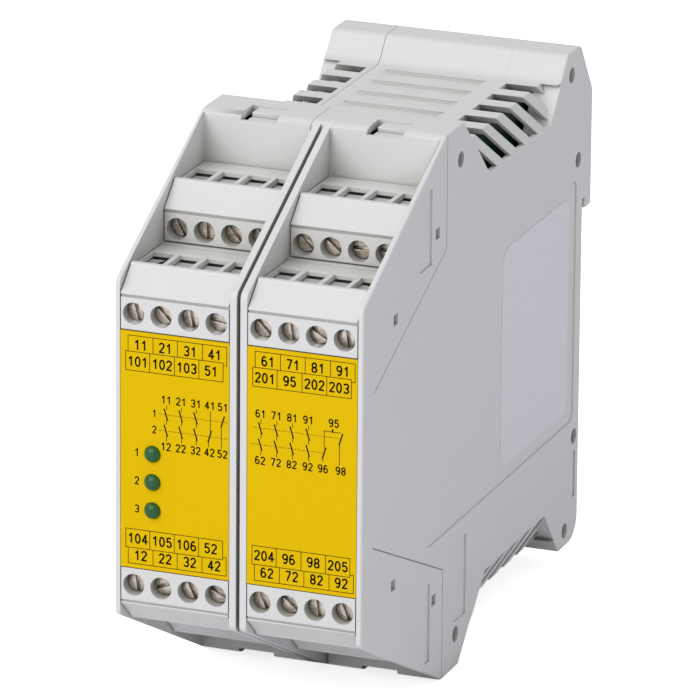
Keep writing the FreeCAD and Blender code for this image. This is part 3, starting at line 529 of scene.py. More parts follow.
class Palette:
    """Every finish of the relay, made once."""

    def __init__(self) -> None:
        """Builds the materials."""
        self.housing = MouldedPlastic("light_grey_moulded_polyamide", "#DFDFDD", 0.5,
                                      shade="#DADAD8").build()
        self.terminal = MouldedPlastic("terminal_grey_moulded_polyamide", "#DDDDDA", 0.48,
                                       shade="#D8D8D5").build()
        self.foot = MouldedPlastic("mid_grey_moulded_polyamide", "#B9BABA", 0.5,
                                   shade="#B0B1B1").build()
        # the black plastics darken towards a near-black painted shade in their hollows
        self.header = MouldedPlastic("black_glass_filled_nylon", "#2A2B2C", 0.55,
                                     shade="#222324", painted_hollow_shade="#181818").build()
        self.case = MouldedPlastic("black_moulded_epoxy", "#1D1E20", 0.35, shade="#18191B",
                                   painted_hollow_shade="#101010").build()
        self.label = PrintedFilm("yellow_printed_polyester_film", "#E6BF00", 0.5,
                                 shade="#E3BC00", sheen=0.06).build()
        self.sticker = PrintedFilm("silver_white_polyester_film", "#E4E4E8", 0.38,
                                   shade="#DEDEE3").build()
        self.ink = PrintedFilm("black_printing_ink", "#1A1406", 0.6, shade="#140F04",
                               mottle_mm=0.3, sheen=0.1).build()
        self.nickel = PlatedSteel("warm_nickel_plated_steel", "#EFE6DA", 0.26, stain="#A2968A",
                                  mark_mm=0.35, mark_depth_mm=0.03).build()
        self.strip = PlatedSteel("satin_tinned_strip_steel", "#DEDEE0", 0.55,
                                 stain="#CECED0").build()
        self.pin = PlatedSteel("tinned_brass", "#C9C2A8", 0.28, stain="#B0A888").build()
        self.can = PlatedSteel("drawn_aluminium", "#BFC1C4", 0.35, stain="#ABADB0").build()
        self.lens = TintedLens("green_diffused_epoxy", "#0F5A26", 0.3).build()
        self.board = BoardLaminate("green_solder_mask_laminate", "#0F3A22", 0.4).build()

    def of(self, node: str) -> bpy.types.Material:
        """Material that a CAD node wears, by the beginning of its name.

        Args:
            node: name of the node.

        Returns:
            Its material.
        """
        starts = {"housing": self.housing, "front_plate": self.housing, "label": self.label,
                  "indicator": self.lens, "terminal_plug": self.terminal,
                  "clamp_screws": self.nickel, "clamp_cages": self.strip,
                  "pin_header": self.header, "header_pins": self.pin,
                  "circuit_board": self.board, "board_link": self.board, "relays": self.case,
                  "capacitors": self.can, "power_converter": self.case, "rail_foot": self.foot,
                  "foot_spring": self.strip, "side_sticker": self.sticker}
        return next(finish for start, finish in starts.items() if node.startswith(start))


# ------------------------------------------------------------------ moulded pieces


@dataclass
class Moulding:
    """A moulded piece with softened edges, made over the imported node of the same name."""

    node: str
    slot: str
    body: str
    finish: bpy.types.Material
    edge_mm: float = 0.12
    sharp_degrees: float = 40.0
    short_mm: float = 0.9
    seams: tuple[float, ...] = ()

    def on_seam(self, edge: bmesh.types.BMEdge) -> bool:
        """Whether an edge lies where two shells meet, so that rounding it would open the seam."""
        return any(all(abs(abs(vertex.co.x) / MM - seam) < SEAM_NEAR for vertex in edge.verts)
                   for seam in self.seams)

    def can_round(self, edge: bmesh.types.BMEdge) -> bool:
        """Whether an edge is sharp, and everything that meets it is long enough to be rounded.

        Args:
            edge: edge of the merged mesh.

        Returns:
            True if the edge is to be rounded.
        """
        if len(edge.link_faces) != 2 or self.on_seam(edge):
            return False
        if edge.calc_face_angle(0.0) < math.radians(self.sharp_degrees):
            return False
        short = self.short_mm * MM
        return all(other.calc_length() > short
                   for vertex in edge.verts for other in vertex.link_edges)

    def build(self) -> bpy.types.Object:
        """Merges a copy of the node, rounds its sharp edges and puts it in the node's place.

        Returns:
            The softened piece.
        """
        piece = duplicate(NODES[self.node], f"{self.node}_soft")
        activate(piece)
        bpy.ops.object.mode_set(mode="EDIT")
        bpy.ops.mesh.select_mode(type="EDGE")
        bpy.ops.mesh.select_all(action="SELECT")
        bpy.ops.mesh.remove_doubles(threshold=MERGE_MM * MM)
        bpy.ops.mesh.dissolve_limited(angle_limit=math.radians(FLAT_DEGREES))
        bpy.ops.mesh.select_all(action="DESELECT")
        mesh = bmesh.from_edit_mesh(piece.data)
        rounded = [edge for edge in mesh.edges if self.can_round(edge)]
        for edge in rounded:
            edge.select_set(True)
        bmesh.update_edit_mesh(piece.data)
        bpy.ops.mesh.bevel(offset=self.edge_mm * MM, segments=2, affect="EDGES",
                           clamp_overlap=False)
        bpy.ops.object.mode_set(mode="OBJECT")
        shade(piece, SMOOTH_DEGREES)
        level = piece.modifiers.new("flat_faces_stay_flat", "WEIGHTED_NORMAL")
        level.mode = "FACE_AREA"
        level.keep_sharp = True
        apply_modifiers(piece)
        dress(piece, self.finish, self.body)
        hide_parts(self.node)
        log.info("moulding %s: %d edges rounded, %d faces", self.node, len(rounded),
                 len(piece.data.polygons))
        return piece


# ------------------------------------------------------------------ clamp screws


@dataclass
class ClampScrews:
    """The four slotted clamp screws of one plug."""

    plug: str
    turns: tuple[float, float, float, float]
    finish: bpy.types.Material
    head_mm: float = 1.8
    height_mm: float = 1.7
    shank_mm: float = 1.0
    crown_mm: float = 0.22
    slot_mm: float = 0.6
    slot_depth_mm: float = 0.9
    worn_mm: float = 0.06
    worn_degrees: float = 50.0

    def select_level(self, screw: bpy.types.Object, level: float) -> None:
        """Selects the faces whose middles lie at a level along y, and enters edit mode.

        Args:
            screw: active screw, in object mode.
            level: place along y, in metres.
        """
        for face in screw.data.polygons:
            face.select = abs(face.center.y - level) < SAME_LEVEL
        bpy.ops.object.mode_set(mode="EDIT")

    def pattern(self) -> bpy.types.Object:
        """Models one screw, facing the front, with its head's face at the origin.

        Returns:
            The screw without its slot.
        """
        deselect()
        bpy.ops.mesh.primitive_cylinder_add(vertices=ROUND_SIDES, radius=self.head_mm * MM,
                                            depth=self.height_mm * MM,
                                            location=(0, self.height_mm / 2 * MM, 0),
                                            rotation=FACING_FRONT)
        screw = bpy.context.object
        bpy.ops.object.transform_apply(location=True, rotation=True, scale=True)
        bpy.ops.object.mode_set(mode="EDIT")
        bpy.ops.mesh.select_mode(type="FACE")
        bpy.ops.mesh.select_all(action="DESELECT")
        bpy.ops.object.mode_set(mode="OBJECT")
        self.select_level(screw, self.height_mm * MM)
        bpy.ops.mesh.inset(thickness=(self.head_mm - self.shank_mm) * MM)
        bpy.ops.mesh.extrude_region_move(
            TRANSFORM_OT_translate={"value": (0, self.reach() * MM, 0)})
        bpy.ops.object.mode_set(mode="OBJECT")
        self.select_level(screw, 0.0)
        bpy.ops.mesh.bevel(offset=self.crown_mm * MM, segments=3, affect="EDGES")
        bpy.ops.object.mode_set(mode="OBJECT")
        return screw

    def reach(self) -> float:
        """How far the shank stands out behind the head, in millimetres."""
        low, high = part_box(f"clamp_screws_{self.plug}")
        return (high[1] - low[1]) / MM - self.height_mm

    def slotted(self, pattern: bpy.types.Object, turn: float, number: int) -> bpy.types.Object:
        """Copies the pattern and cuts its slot right across, at a turn in degrees.

        Args:
            pattern: screw without a slot.
            turn: lean of the slot from upright.
            number: number of the screw in its plug.

        Returns:
            The slotted screw.
        """
        screw = duplicate(pattern, f"clamp_screw_{self.plug}_{number}")
        bpy.ops.mesh.primitive_cube_add(size=1, location=(0, 0, 0))
        cutter = bpy.context.object
        cutter.scale = (self.slot_mm * MM, 2 * self.slot_depth_mm * MM, 3 * self.head_mm * MM)
        cutter.rotation_euler = (0, math.radians(turn), 0)
        settle(cutter)
        cut = screw.modifiers.new("slot", "BOOLEAN")
        cut.operation = "DIFFERENCE"
        cut.solver = "EXACT"
        cut.object = cutter
        edge = screw.modifiers.new("worn_edges", "BEVEL")
        edge.width = self.worn_mm * MM
        edge.segments = 2
        edge.angle_limit = math.radians(self.worn_degrees)
        edge.use_clamp_overlap = False
        apply_modifiers(screw)
        bpy.data.objects.remove(cutter, do_unlink=True)
        return screw

    def build(self) -> bpy.types.Object:
        """Makes the four screws in their places in the plug.

        Returns:
            One object with the four screws.
        """
        node = f"clamp_screws_{self.plug}"
        middle = middle_of(node)
        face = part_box(node)[0][1]
        pattern = self.pattern()
        screws = []
        for i, turn in enumerate(self.turns):
            screw = self.slotted(pattern, turn, i + 1)
            across = middle.x + (i - (POLES - 1) / 2) * POLE_PITCH
            screw.location = (across * MM, face, middle.z * MM)
            screws.append(screw)
        bpy.data.objects.remove(pattern, do_unlink=True)
        group = join(screws, f"{node}_turned")
        shade(group, ROUND_DEGREES)
        dress(group, self.finish, f"plug_{self.plug}")
        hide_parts(node)
        log.info("%s: four screws", node)
        return group


# ------------------------------------------------------------------ indicator lights


@dataclass
class IndicatorLight:
    """A three-millimetre light: domed lens, collar and two leads."""

    node: str
    finish: bpy.types.Material
    radius_mm: float = 1.45
    proud_mm: float = 1.1
    body_mm: float = 5.5
    collar_mm: float = 1.0
    collar_rim_mm: float = 0.4
    collar_back_mm: float = 3.55       # from the label's face to the middle of the collar
    lead_mm: float = 0.5
    lead_offset_mm: float = 1.27
    lead_back_mm: float = 5.0          # from the label's face to the start of the leads

    def dome(self) -> bpy.types.Object:
        """Models the round body and its flattened dome, with the seat of the dome at the origin.

        Returns:
            The lens, facing the front.
        """
        deselect()
        bpy.ops.mesh.primitive_uv_sphere_add(segments=ROUND_SIDES, ring_count=ROUND_SIDES // 2,
                                             radius=self.radius_mm * MM)
        lens = bpy.context.object
        lens.rotation_euler = FACING_FRONT
        settle(lens)
        bpy.ops.object.mode_set(mode="EDIT")
        bpy.ops.mesh.select_mode(type="VERT")
        bpy.ops.mesh.select_all(action="SELECT")
        bpy.ops.mesh.bisect(plane_co=(0, 0, 0), plane_no=(0, 1, 0), clear_outer=True)
        bpy.ops.mesh.select_all(action="DESELECT")
        bpy.ops.mesh.select_non_manifold()
        bpy.ops.mesh.extrude_region_move(
            TRANSFORM_OT_translate={"value": (0, self.body_mm * MM, 0)})
        bpy.ops.mesh.edge_face_add()
        bpy.ops.object.mode_set(mode="OBJECT")
        squeeze = self.proud_mm / self.radius_mm
        for vertex in lens.data.vertices:
            if vertex.co.y < 0:
                vertex.co.y *= squeeze
        return lens

    def build(self) -> bpy.types.Object:
        """Models the dome on its round body, with the collar and leads behind the plate.

        Returns:
            The light in its place.
        """
        low, high = (Vector(corner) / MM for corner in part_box(self.node))
        middle = (low + high) / 2
        lens = self.dome()
        lens.location = (middle.x * MM, (low.y + self.proud_mm) * MM, middle.z * MM)
        bpy.ops.mesh.primitive_cylinder_add(
            vertices=ROUND_SIDES, radius=(self.radius_mm + self.collar_rim_mm) * MM,
            depth=self.collar_mm * MM, rotation=FACING_FRONT,
            location=(middle.x * MM, (FRONT_Y + self.collar_back_mm) * MM, middle.z * MM))
        pieces = [lens, bpy.context.object]
        start = FRONT_Y + self.lead_back_mm
        for across in (-self.lead_offset_mm, self.lead_offset_mm):
            bpy.ops.mesh.primitive_cube_add(size=1)
            lead = bpy.context.object
            lead.scale = (self.lead_mm * MM, (high.y - start) * MM, self.lead_mm * MM)
            lead.location = ((middle.x + across) * MM, (start + high.y) / 2 * MM, middle.z * MM)
            pieces.append(lead)
        light = join(pieces, f"{self.node}_lens")
        shade(light, ROUND_DEGREES)
        dress(light, self.finish, "housing")
        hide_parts(self.node)
        log.info("%s: domed lens", self.node)
        return light


# ------------------------------------------------------------------ label print


class Contacts(Enum):
    """What a column of the wiring diagram holds."""

    TWO_MAKES = "two makes"
    LATE_BREAK = "late break"
    EARLY_BREAK = "early break"


@dataclass(frozen=True)
class Column:
    """One column of a wiring diagram, numbered with its ten and a 1 above, and a 2 below."""

    across: float
    ten: str
    contacts: Contacts = Contacts.TWO_MAKES


class Figures:
    """Upright figures of a bold plain face, each drawn once with strokes, one millimetre tall."""

    WIDTH = 0.42           # stroke middle to stroke middle, as a share of the height
    GAP = 0.25
    STROKE = 0.155
    ARC_STEP = 24          # degrees that one straight stroke of a bow covers

    def __init__(self) -> None:
        """Sets the courses of the strokes of each figure."""
        half = self.WIDTH / 2
        top = (1 - self.STROKE) / 2
        bowl = top / 2

        def arc(middle: float, tall: float, start: float, end: float,
                wide: float = half) -> list[tuple[float, float]]:
            """Course of a bow of a figure.

            Args:
                middle: height of its centre.
                tall: half its height.
                start: where it starts, in degrees from the right.
                end: where it ends.
                wide: half its width.

            Returns:
                Points along the bow.
            """
            steps = max(2, round(abs(end - start) / self.ARC_STEP))
            turns = [math.radians(start + (end - start) * i / steps) for i in range(steps + 1)]
            return [(wide * math.cos(turn), middle + tall * math.sin(turn)) for turn in turns]

        self.courses = {
            "0": [arc(0.0, top, 90, 450)],
            "1": [[(-half * 0.7, top * 0.5), (-half * 0.1, top * 0.72), (half * 0.25, top)],
                  [(half * 0.25, top), (half * 0.25, -top)]],
            "2": [arc(bowl, bowl, 165, -38) + [(-half, -top), (half, -top)]],
            "3": [arc(bowl, bowl, 150, -90) + arc(-bowl, bowl, 90, -150)],
            "4": [[(half * 0.45, -top), (half * 0.45, top), (-half, -top * 0.45),
                   (half * 1.2, -top * 0.45)]],
            "5": [[(half * 0.85, top), (-half * 0.7, top), (-half * 0.9, top * 0.12)]
                  + arc(-bowl * 0.75, bowl * 1.25, 120, -150)],
            "6": [arc(0.0, top, 55, 180) + arc(-bowl * 0.85, bowl * 1.15, 180, 540)],
            "7": [[(-half, top), (half, top), (-half * 0.35, -top)]],
            "8": [arc(bowl, bowl, 90, 450, half * 0.9), arc(-bowl, bowl, 90, 450)],
            "9": [arc(0.0, top, 235, 360) + arc(bowl * 0.85, bowl * 1.15, 0, 360)],
        }
        self.made: dict[str, bpy.types.Object] = {}

    def pattern(self, digit: str) -> bpy.types.Object:
        """The figure as a flat mesh about its middle, made when it is first asked for.

        Args:
            digit: figure from 0 to 9.

        Returns:
            The pattern of the figure.
        """
        if digit not in self.made:
            bars = [self.bar(start, end) for course in self.courses[digit]
                    for start, end in zip(course, course[1:])]
            self.made[digit] = join(bars, f"figure_pattern_{digit}")
        return self.made[digit]

    def bar(self, start: tuple[float, float], end: tuple[float, float]) -> bpy.types.Object:
        """One straight stroke with ends that reach round the corner, in the plane of the print.

        Args:
            start: one end, across and up from the figure's middle.
            end: the other end.

        Returns:
            The stroke.
        """
        run = Vector(end) - Vector(start)
        middle = (Vector(end) + Vector(start)) / 2
        reach = 0.5 * self.STROKE
        bpy.ops.mesh.primitive_cube_add(size=1, location=(middle.x * MM, 0, middle.y * MM))
        bar = bpy.context.object
        bar.scale = ((run.length + reach) * MM, INK_THICKNESS_MM * MM, self.STROKE * MM)
        bar.rotation_euler = (0, -math.atan2(run.y, run.x), 0)
        settle(bar)
        return bar

    def clear(self) -> None:
        """Removes the patterns once everything is printed."""
        for figure in self.made.values():
            bpy.data.objects.remove(figure, do_unlink=True)
        self.made.clear()


@dataclass
class LabelPrint:
    """Black print on a yellow label: boxes with terminal numbers and a wiring diagram.

    Places on the label are (across, down) in millimetres from its upper left corner.  Those of
    the boxes are counted from the nearer end of the label, upper or lower.
    """

    module: Module
    rows: dict[str, tuple[str, str, str, str]]
    finish: bpy.types.Material
    figures: Figures
    line_mm: float = 0.12
    pieces: list[bpy.types.Object] = field(default_factory=list)

    # The two rows of boxes: their upright lines, their level lines and the middles of the numbers
    NEAR_EDGES = (1.4, 5.95, 10.4, 14.95, 19.35)
    FAR_EDGES = (0.95, 5.35, 9.85, 14.3, 18.7)
    NEAR_START, ROWS_MEET, NEAR_END, FAR_END = 0.73, 3.58, 4.03, 6.95
    NEAR_NUMBERS, FAR_NUMBERS = 2.3, 5.3
    BOX_FIGURE = 1.9

    # A contact's blade, and where the contacts and their wires stand in a column
    LEAN, BLADE_HALF, BLADE_WIDTH = 0.28, 0.92, 0.26
    FIRST_CONTACT, SECOND_CONTACT = 2.6, 5.5
    BELOW_NUMBER, BELOW_BLADE, ABOVE_NUMBER = 1.05, 0.9, 1.0
    ABOVE_MAKE, ABOVE_BREAK, STUB = 1.2, 0.95, 0.65
    MAKE_SHIFT, WIRE_SHIFT, LATE_SHIFT, BREAK_SHIFT = -0.05, 0.1, -0.2, -0.25
    FIGURE = 1.5

    DASH, DASH_STEP, DASH_WIDTH = 0.55, 0.85, 0.07

    def place(self, across: float, down: float) -> Vector:
        """Point on the label's face, in metres, for a place on the label.

        Args:
            across: millimetres from the left edge.
            down: millimetres from the upper edge.

        Returns:
            The point, half a layer of ink in front of the face.
        """
        low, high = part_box(f"label_{self.module.value}")
        return Vector((low[0] + across * MM, low[1] - INK_THICKNESS_MM / 2 * MM,
                       high[2] - down * MM))

    def stroke(self, start: tuple[float, float], end: tuple[float, float], width: float) -> None:
        """Adds a straight stroke between two places on the label.

        Args:
            start: place of one end.
            end: place of the other end.
            width: width in millimetres.
        """
        first, last = self.place(*start), self.place(*end)
        run = last - first
        bpy.ops.mesh.primitive_cube_add(size=1, location=(first + last) / 2)
        bar = bpy.context.object
        bar.scale = (run.length + width * MM, INK_THICKNESS_MM * MM, width * MM)
        bar.rotation_euler = (0, -math.atan2(run.z, run.x), 0)
        self.pieces.append(bar)

    def path(self, places: list[tuple[float, float]]) -> None:
        """Adds thin lines from place to place."""
        for start, end in zip(places, places[1:]):
            self.stroke(start, end, self.line_mm)

    def wire(self, across: float, start: float, end: float) -> None:
        """Adds a thin upright line."""
        self.stroke((across, start), (across, end), self.line_mm)

    def text(self, words: str, across: float, down: float, height: float = FIGURE) -> None:
        """Adds plain figures centred on a place, with a given height.

        Args:
            words: figures to print.
            across: place of their middle, across.
            down: place of their middle, down.
            height: height in millimetres.
        """
        step = (Figures.WIDTH + Figures.GAP) * height
        for i, digit in enumerate(words):
            figure = duplicate(self.figures.pattern(digit), f"figure_{digit}")
            figure.scale = (height, 1.0, height)
            figure.location = self.place(across + (i - (len(words) - 1) / 2) * step, down)
            self.pieces.append(figure)

    def boxes(self, side: Side) -> None:
        """Adds the two staggered rows of boxes with their numbers, at one end of the label.

        Args:
            side: end of the label that the boxes stand at.
        """
        low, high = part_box(f"label_{self.module.value}")
        tall = (high[2] - low[2]) / MM

        def at(down: float) -> float:
            """Place down the label, counted from the end that the boxes stand at."""
            return tall - down if side is Side.BOTTOM else down

        start, meet, near_end, far_end = (at(self.NEAR_START), at(self.ROWS_MEET),
                                          at(self.NEAR_END), at(self.FAR_END))
        left, *near_marks, right = self.NEAR_EDGES
        far_left, *far_marks, far_right = self.FAR_EDGES
        self.path([(left, meet), (left, start), (right, start), (right, near_end),
                   (far_right, near_end)])
        for mark in near_marks:
            self.wire(mark, start, meet)
        self.path([(far_left, meet), (far_right, meet), (far_right, far_end),
                   (far_left, far_end), (far_left, meet)])
        for mark in far_marks:
            self.wire(mark, meet, far_end)
        for row, middle, edges in (("near", self.NEAR_NUMBERS, self.NEAR_EDGES),
                                   ("far", self.FAR_NUMBERS, self.FAR_EDGES)):
            numbers = self.rows[f"{row}_{side.value}"]
            for number, first, last in zip(numbers, edges, edges[1:]):
                self.text(number, (first + last) / 2, at(middle), self.BOX_FIGURE)

    def contact(self, across: float, down: float, opening: bool) -> None:
        """Adds a contact's slanted blade, which leans the other way on a break contact.

        Args:
            across: place of its middle, across.
            down: place of its middle, down.
            opening: whether it is a break contact.
        """
        lean = -self.LEAN if opening else self.LEAN
        self.stroke((across - lean, down - self.BLADE_HALF),
                    (across + lean, down + self.BLADE_HALF), self.BLADE_WIDTH)

    def column(self, item: Column, top: float, bottom: float) -> None:
        """Adds a column of the diagram: its number, wires and contacts, and the lower number.

        Args:
            item: what the column holds.
            top: down to the middle of its upper number.
            bottom: down to the middle of its lower number.
        """
        x = item.across
        self.text(f"{item.ten}1", x, top)
        self.text(f"{item.ten}2", x + self.MAKE_SHIFT, bottom)
        first, second = top + self.FIRST_CONTACT, top + self.SECOND_CONTACT
        start, end = top + self.BELOW_NUMBER, bottom - self.ABOVE_NUMBER
        if item.contacts is Contacts.TWO_MAKES:
            wire, blade = x + self.WIRE_SHIFT, x + self.MAKE_SHIFT
            self.wire(wire, start, start + self.STUB)
            self.contact(blade, first, False)
            self.wire(wire, first + self.BELOW_BLADE, second - self.ABOVE_MAKE)
            self.contact(blade, second, False)
            self.wire(wire, second + self.BELOW_BLADE, end)
        elif item.contacts is Contacts.LATE_BREAK:
            self.wire(x + self.WIRE_SHIFT, start, second - self.ABOVE_BREAK)
            self.contact(x, second, True)
            self.wire(x + self.LATE_SHIFT, second + self.BELOW_BLADE, end)
        else:
            self.contact(x, first, True)
            self.wire(x + self.BREAK_SHIFT, first + self.BELOW_BLADE, end)

    def dashes(self, start: float, end: float, down: float) -> None:
        """Adds a dashed line across the label.

        Args:
            start: across to the first dash.
            end: across to the line's end.
            down: place of the line.
        """
        x = start
        while x < end:
            self.stroke((x, down), (min(x + self.DASH, end), down), self.DASH_WIDTH)
            x += self.DASH_STEP

    def finish_print(self) -> bpy.types.Object:
        """Joins the print and puts it on the housing.

        Returns:
            The print.
        """
        for piece in self.pieces:
            settle(piece)
        sheet = join(self.pieces, f"label_print_{self.module.value}")
        dress(sheet, self.finish, "housing")
        log.info("print on the %s label: %d faces", self.module.value, len(sheet.data.polygons))
        return sheet


class LeftPrint(LabelPrint):
    """Print of the left label, with the numbers of the three lights."""

    TOP, BOTTOM = 11.45, 19.8
    COLUMNS = (Column(8.35, "1"), Column(11.05, "2"), Column(13.75, "3"),
               Column(16.3, "4", Contacts.LATE_BREAK), Column(18.65, "5", Contacts.EARLY_BREAK))
    CHANNELS = (("1", 14.1), ("2", 17.0))
    CHANNEL_NUMBERS, CHANNEL_START, CHANNEL_END = 6.2, 7.0, 19.6
    CHANNEL_FIGURE = 1.4
    LIGHT_NUMBERS = 3.0

    def build(self) -> bpy.types.Object:
        """Makes the print of the left label.

        Returns:
            The print.
        """
        for side in Side:
            self.boxes(side)
        for column in self.COLUMNS:
            self.column(column, self.TOP, self.BOTTOM)
        for number, down in self.CHANNELS:
            self.text(number, self.CHANNEL_NUMBERS, down, self.CHANNEL_FIGURE)
            self.dashes(self.CHANNEL_START, self.CHANNEL_END, down)
        label_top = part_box(f"label_{self.module.value}")[1][2] / MM
        for i, light in enumerate(LIGHTS):
            self.text(str(i + 1), self.LIGHT_NUMBERS,
                      label_top - middle_of(f"indicator_light_{light}").z)
        return self.finish_print()


class RightPrint(LabelPrint):
    """Print of the right label, whose last contact pair shares one terminal."""

    TOP, BOTTOM = 11.7, 20.0
    COLUMNS = (Column(2.4, "6"), Column(5.25, "7"), Column(8.1, "8"), Column(11.0, "9"))
    PAIR_FIRST, PAIR_SECOND = 13.9, 16.9           # across to the pair's two contacts
    PAIR_LOWER, PAIR_UPPER = 17.2, 14.4            # down to the first and to the second
    BRIDGE = 13.25                                 # down to the line that joins the pair
    KNOB, KNOB_WIDTH = 0.35, 0.3

    def build(self) -> bpy.types.Object:
        """Makes the print of the right label.

        Returns:
            The print.
        """
        for side in Side:
            self.boxes(side)
        for column in self.COLUMNS:
            self.column(column, self.TOP, self.BOTTOM)
        first, second = self.PAIR_FIRST, self.PAIR_SECOND
        shared = (first + second) / 2
        self.text("95", shared + 0.2, self.TOP)
        self.path([(first, self.BRIDGE), (second, self.BRIDGE)])
        self.stroke((shared, self.BRIDGE - self.KNOB), (shared, self.BRIDGE), self.KNOB_WIDTH)
        self.wire(first, self.BRIDGE, self.PAIR_LOWER - self.BELOW_BLADE)
        for across, down, end in ((first, self.PAIR_LOWER, self.BOTTOM - 1.3),
                                  (second, self.PAIR_UPPER, self.BOTTOM - self.ABOVE_NUMBER)):
            self.contact(across, down, True)
            self.wire(across + self.BREAK_SHIFT, down + self.BELOW_BLADE, end)
        self.text("96", first - 0.2, self.BOTTOM)
        self.text("98", second, self.BOTTOM)
        self.dashes(1.2, second - 0.2, self.PAIR_UPPER - 0.15)
        self.dashes(0.6, first - 0.2, self.PAIR_LOWER)
        return self.finish_print()


# ------------------------------------------------------------------ studio


@dataclass
class Studio:
    """Camera, lamp, floor and surroundings."""

    floor_half: float = 6.0
    floor_gap_mm: float = 0.05
    world_level: float = 0.62
    world_colour: str = "#FBFBFF"
    key_watts: float = 12.3
    key_size: float = 1.3
    key_place: tuple[float, float, float] = (-0.45, -1.1, 0.95)
    floor_glow: float = 0.75
    floor_seen: str = "#FBFBFB"
    floor_bounce: str = "#ECECF2"
    azimuth: float = 20.883        # degrees to the right of straight in front
    elevation: float = 18.293
    roll: float = 0.468
    distance_mm: float = 1404.1
    lens_mm: float = 412.66
    middle_mm: float = -53.0       # y of the point in the relay that the camera looks towards
    lit_mm: float = -55.0          # y of the point in the relay that the lamp faces
    shift_mm: tuple[float, float] = (-1.561, 2.669)

    def camera(self) -> None:
        """Sets the camera at the viewing angle, in front and to the right, a little above."""
        azimuth, elevation = math.radians(self.azimuth), math.radians(self.elevation)
        roll = math.radians(self.roll)
        back = Vector((math.sin(azimuth) * math.cos(elevation),
                       -math.cos(azimuth) * math.cos(elevation), math.sin(elevation)))
        right = Vector((math.cos(azimuth), math.sin(azimuth), 0.0))
        up = back.cross(right)
        across = math.cos(roll) * right + math.sin(roll) * up
        upward = math.cos(roll) * up - math.sin(roll) * right
        aim = (Vector((0.0, self.middle_mm, 0.0)) + across * self.shift_mm[0]
               + upward * self.shift_mm[1])
        data = bpy.data.cameras.new("camera")
        data.lens = self.lens_mm
        data.sensor_width = 36.0
        data.clip_start = 0.05
        data.clip_end = 20.0
        camera = bpy.data.objects.new("camera", data)
        turn = Matrix((across, upward, back)).transposed().to_4x4()
        camera.matrix_world = Matrix.Translation((aim + back * self.distance_mm) * MM) @ turn
        bpy.context.scene.collection.objects.link(camera)
        bpy.context.scene.camera = camera

    def lamp(self) -> None:
        """Hangs the square key lamp, which faces the middle of the relay."""
        data = bpy.data.lights.new("key", "AREA")
        data.size = self.key_size
        data.energy = self.key_watts
        lamp = bpy.data.objects.new("key", data)
        lamp.location = self.key_place
        towards = Vector(self.key_place) - Vector((0.0, self.lit_mm * MM, 0.0))
        lamp.rotation_mode = "QUATERNION"
        lamp.rotation_quaternion = towards.to_track_quat("Z", "Y")
        bpy.context.scene.collection.objects.link(lamp)

    def floor(self) -> None:
        """Lays a large white floor just below the relay, which throws little light back up."""
        deselect()
        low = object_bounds()[0][2]
        bpy.ops.mesh.primitive_plane_add(size=2 * self.floor_half,
                                         location=(0, 0, low - self.floor_gap_mm * MM))
        plane = bpy.context.object
        plane.name = "floor"
        material = bpy.data.materials.new("white_paper_sweep")
        material.use_nodes = True
        tree = material.node_tree
        tree.nodes.clear()
        path = add_node(tree, "ShaderNodeLightPath")
        paper = add_node(tree, "ShaderNodeBsdfDiffuse", {"Color": linear(self.floor_seen)})
        dim = add_node(tree, "ShaderNodeBsdfDiffuse", {"Color": linear(self.floor_bounce)})
        lit = add_node(tree, "ShaderNodeEmission", {"Strength": self.floor_glow})
        seen = add_node(tree, "ShaderNodeAddShader",
                        links={0: paper.outputs["BSDF"], 1: lit.outputs["Emission"]})
        shader = add_node(tree, "ShaderNodeMixShader",
                          links={0: path.outputs["Is Camera Ray"], 1: dim.outputs["BSDF"],
                                 2: seen.outputs["Shader"]})
        add_node(tree, "ShaderNodeOutputMaterial", links={"Surface": shader.outputs["Shader"]})
        plane.data.materials.append(material)
        plane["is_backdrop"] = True

    def world(self) -> None:
        """Surrounds the relay with even light, which the camera sees as white."""
        world = bpy.data.worlds.new("white_studio")
        bpy.context.scene.world = world
        world.use_nodes = True
        tree = world.node_tree
        tree.nodes.clear()
        path = add_node(tree, "ShaderNodeLightPath")
        level = add_node(tree, "ShaderNodeMapRange", {"To Min": self.world_level, "To Max": 1.0},
                         {"Value": path.outputs["Is Camera Ray"]})
        shader = add_node(tree, "ShaderNodeBackground", {"Color": linear(self.world_colour)},
                          {"Strength": level.outputs["Result"]})
        add_node(tree, "ShaderNodeOutputWorld", links={"Surface": shader.outputs["Background"]})

    def build(self) -> None:
        """Sets up the camera, the lamp, the floor and the world."""
        self.camera()
        self.floor()
        self.world()
        self.lamp()
        bpy.context.scene.view_settings.view_transform = "Standard"


# ------------------------------------------------------------------ the whole relay


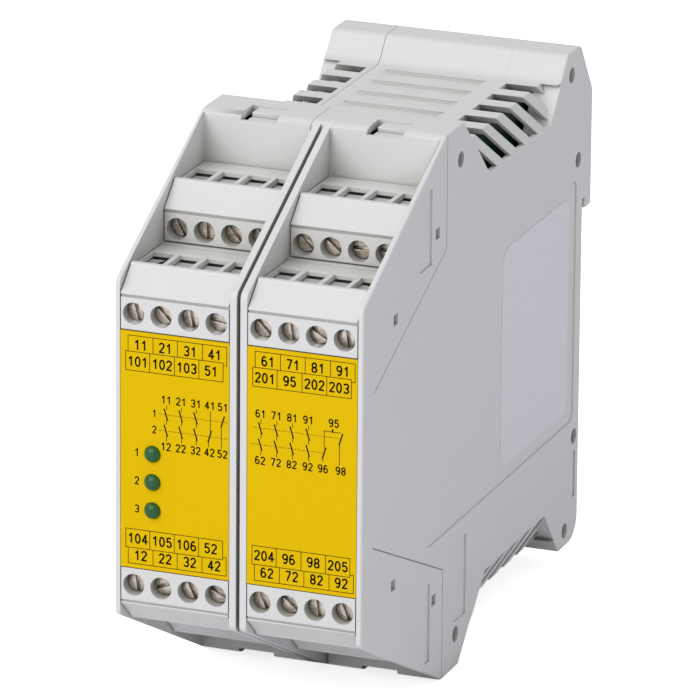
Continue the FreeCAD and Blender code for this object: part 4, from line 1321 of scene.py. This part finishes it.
SCREW_TURNS: dict[str, tuple[float, float, float, float]] = {
    "left_top_front": (-14, -45, -10, -82),
    "left_top_rear": (-28, -2, -40, -28),
    "left_bottom_front": (-7, 70, -25, -65),
    "left_bottom_rear": (-33, 12, -60, -5),
    "right_top_front": (-45, -8, -60, -7),
    "right_top_rear": (-45, -50, -88, -82),
    "right_bottom_front": (-22, -50, -8, -20),
    "right_bottom_rear": (-71, -18, 35, -40),
}
"""How far each screw's slot leans over to the right, in degrees from upright."""

LEFT_NUMBERS = {
    "near_top": ("11", "21", "31", "41"), "far_top": ("101", "102", "103", "51"),
    "near_bottom": ("12", "22", "32", "42"), "far_bottom": ("104", "105", "106", "52"),
}
RIGHT_NUMBERS = {
    "near_top": ("61", "71", "81", "91"), "far_top": ("201", "95", "202", "203"),
    "near_bottom": ("62", "72", "82", "92"), "far_bottom": ("204", "96", "98", "205"),
}


def plug_names() -> list[str]:
    """Names of the eight plugs, as their nodes carry them."""
    return [f"{module.value}_{side.value}_{level.value}"
            for module in Module for side in Side for level in Level]


def mouldings(palette: Palette) -> None:
    """Softens the housing, the front plates, the plugs and the rail foot.

    Args:
        palette: finishes of the relay.
    """
    rear_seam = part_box("housing_middle_frame")[1][0] / MM
    for node in ("housing_left_shell", "housing_middle_frame", "housing_right_shell"):
        Moulding(node, "housing_plastic", "housing", palette.housing, edge_mm=0.15,
                 seams=(rear_seam, FRONT_SEAM)).build()
    for module in Module:
        Moulding(f"front_plate_{module.value}", "plate_plastic", "housing", palette.housing,
                 edge_mm=0.1).build()
    for plug in plug_names():
        Moulding(f"terminal_plug_{plug}", "terminal_plastic", f"plug_{plug}",
                 palette.terminal).build()
    Moulding("rail_foot", "foot_plastic", "foot", palette.foot, edge_mm=0.25).build()


def main() -> None:
    """Builds the looks in order and reports each piece."""
    palette = Palette()
    for name, node in NODES.items():
        node.data.materials.clear()
        node.data.materials.append(palette.of(name))
    mouldings(palette)
    for plug in plug_names():
        ClampScrews(plug, SCREW_TURNS[plug], palette.nickel).build()
    for light in LIGHTS:
        IndicatorLight(f"indicator_light_{light}", palette.lens).build()
    figures = Figures()
    LeftPrint(Module.LEFT, LEFT_NUMBERS, palette.ink, figures).build()
    RightPrint(Module.RIGHT, RIGHT_NUMBERS, palette.ink, figures).build()
    figures.clear()
    Studio().build()


if __name__ == "__main__":
    logging.basicConfig(level=logging.INFO, format="%(name)s: %(message)s")
    main()
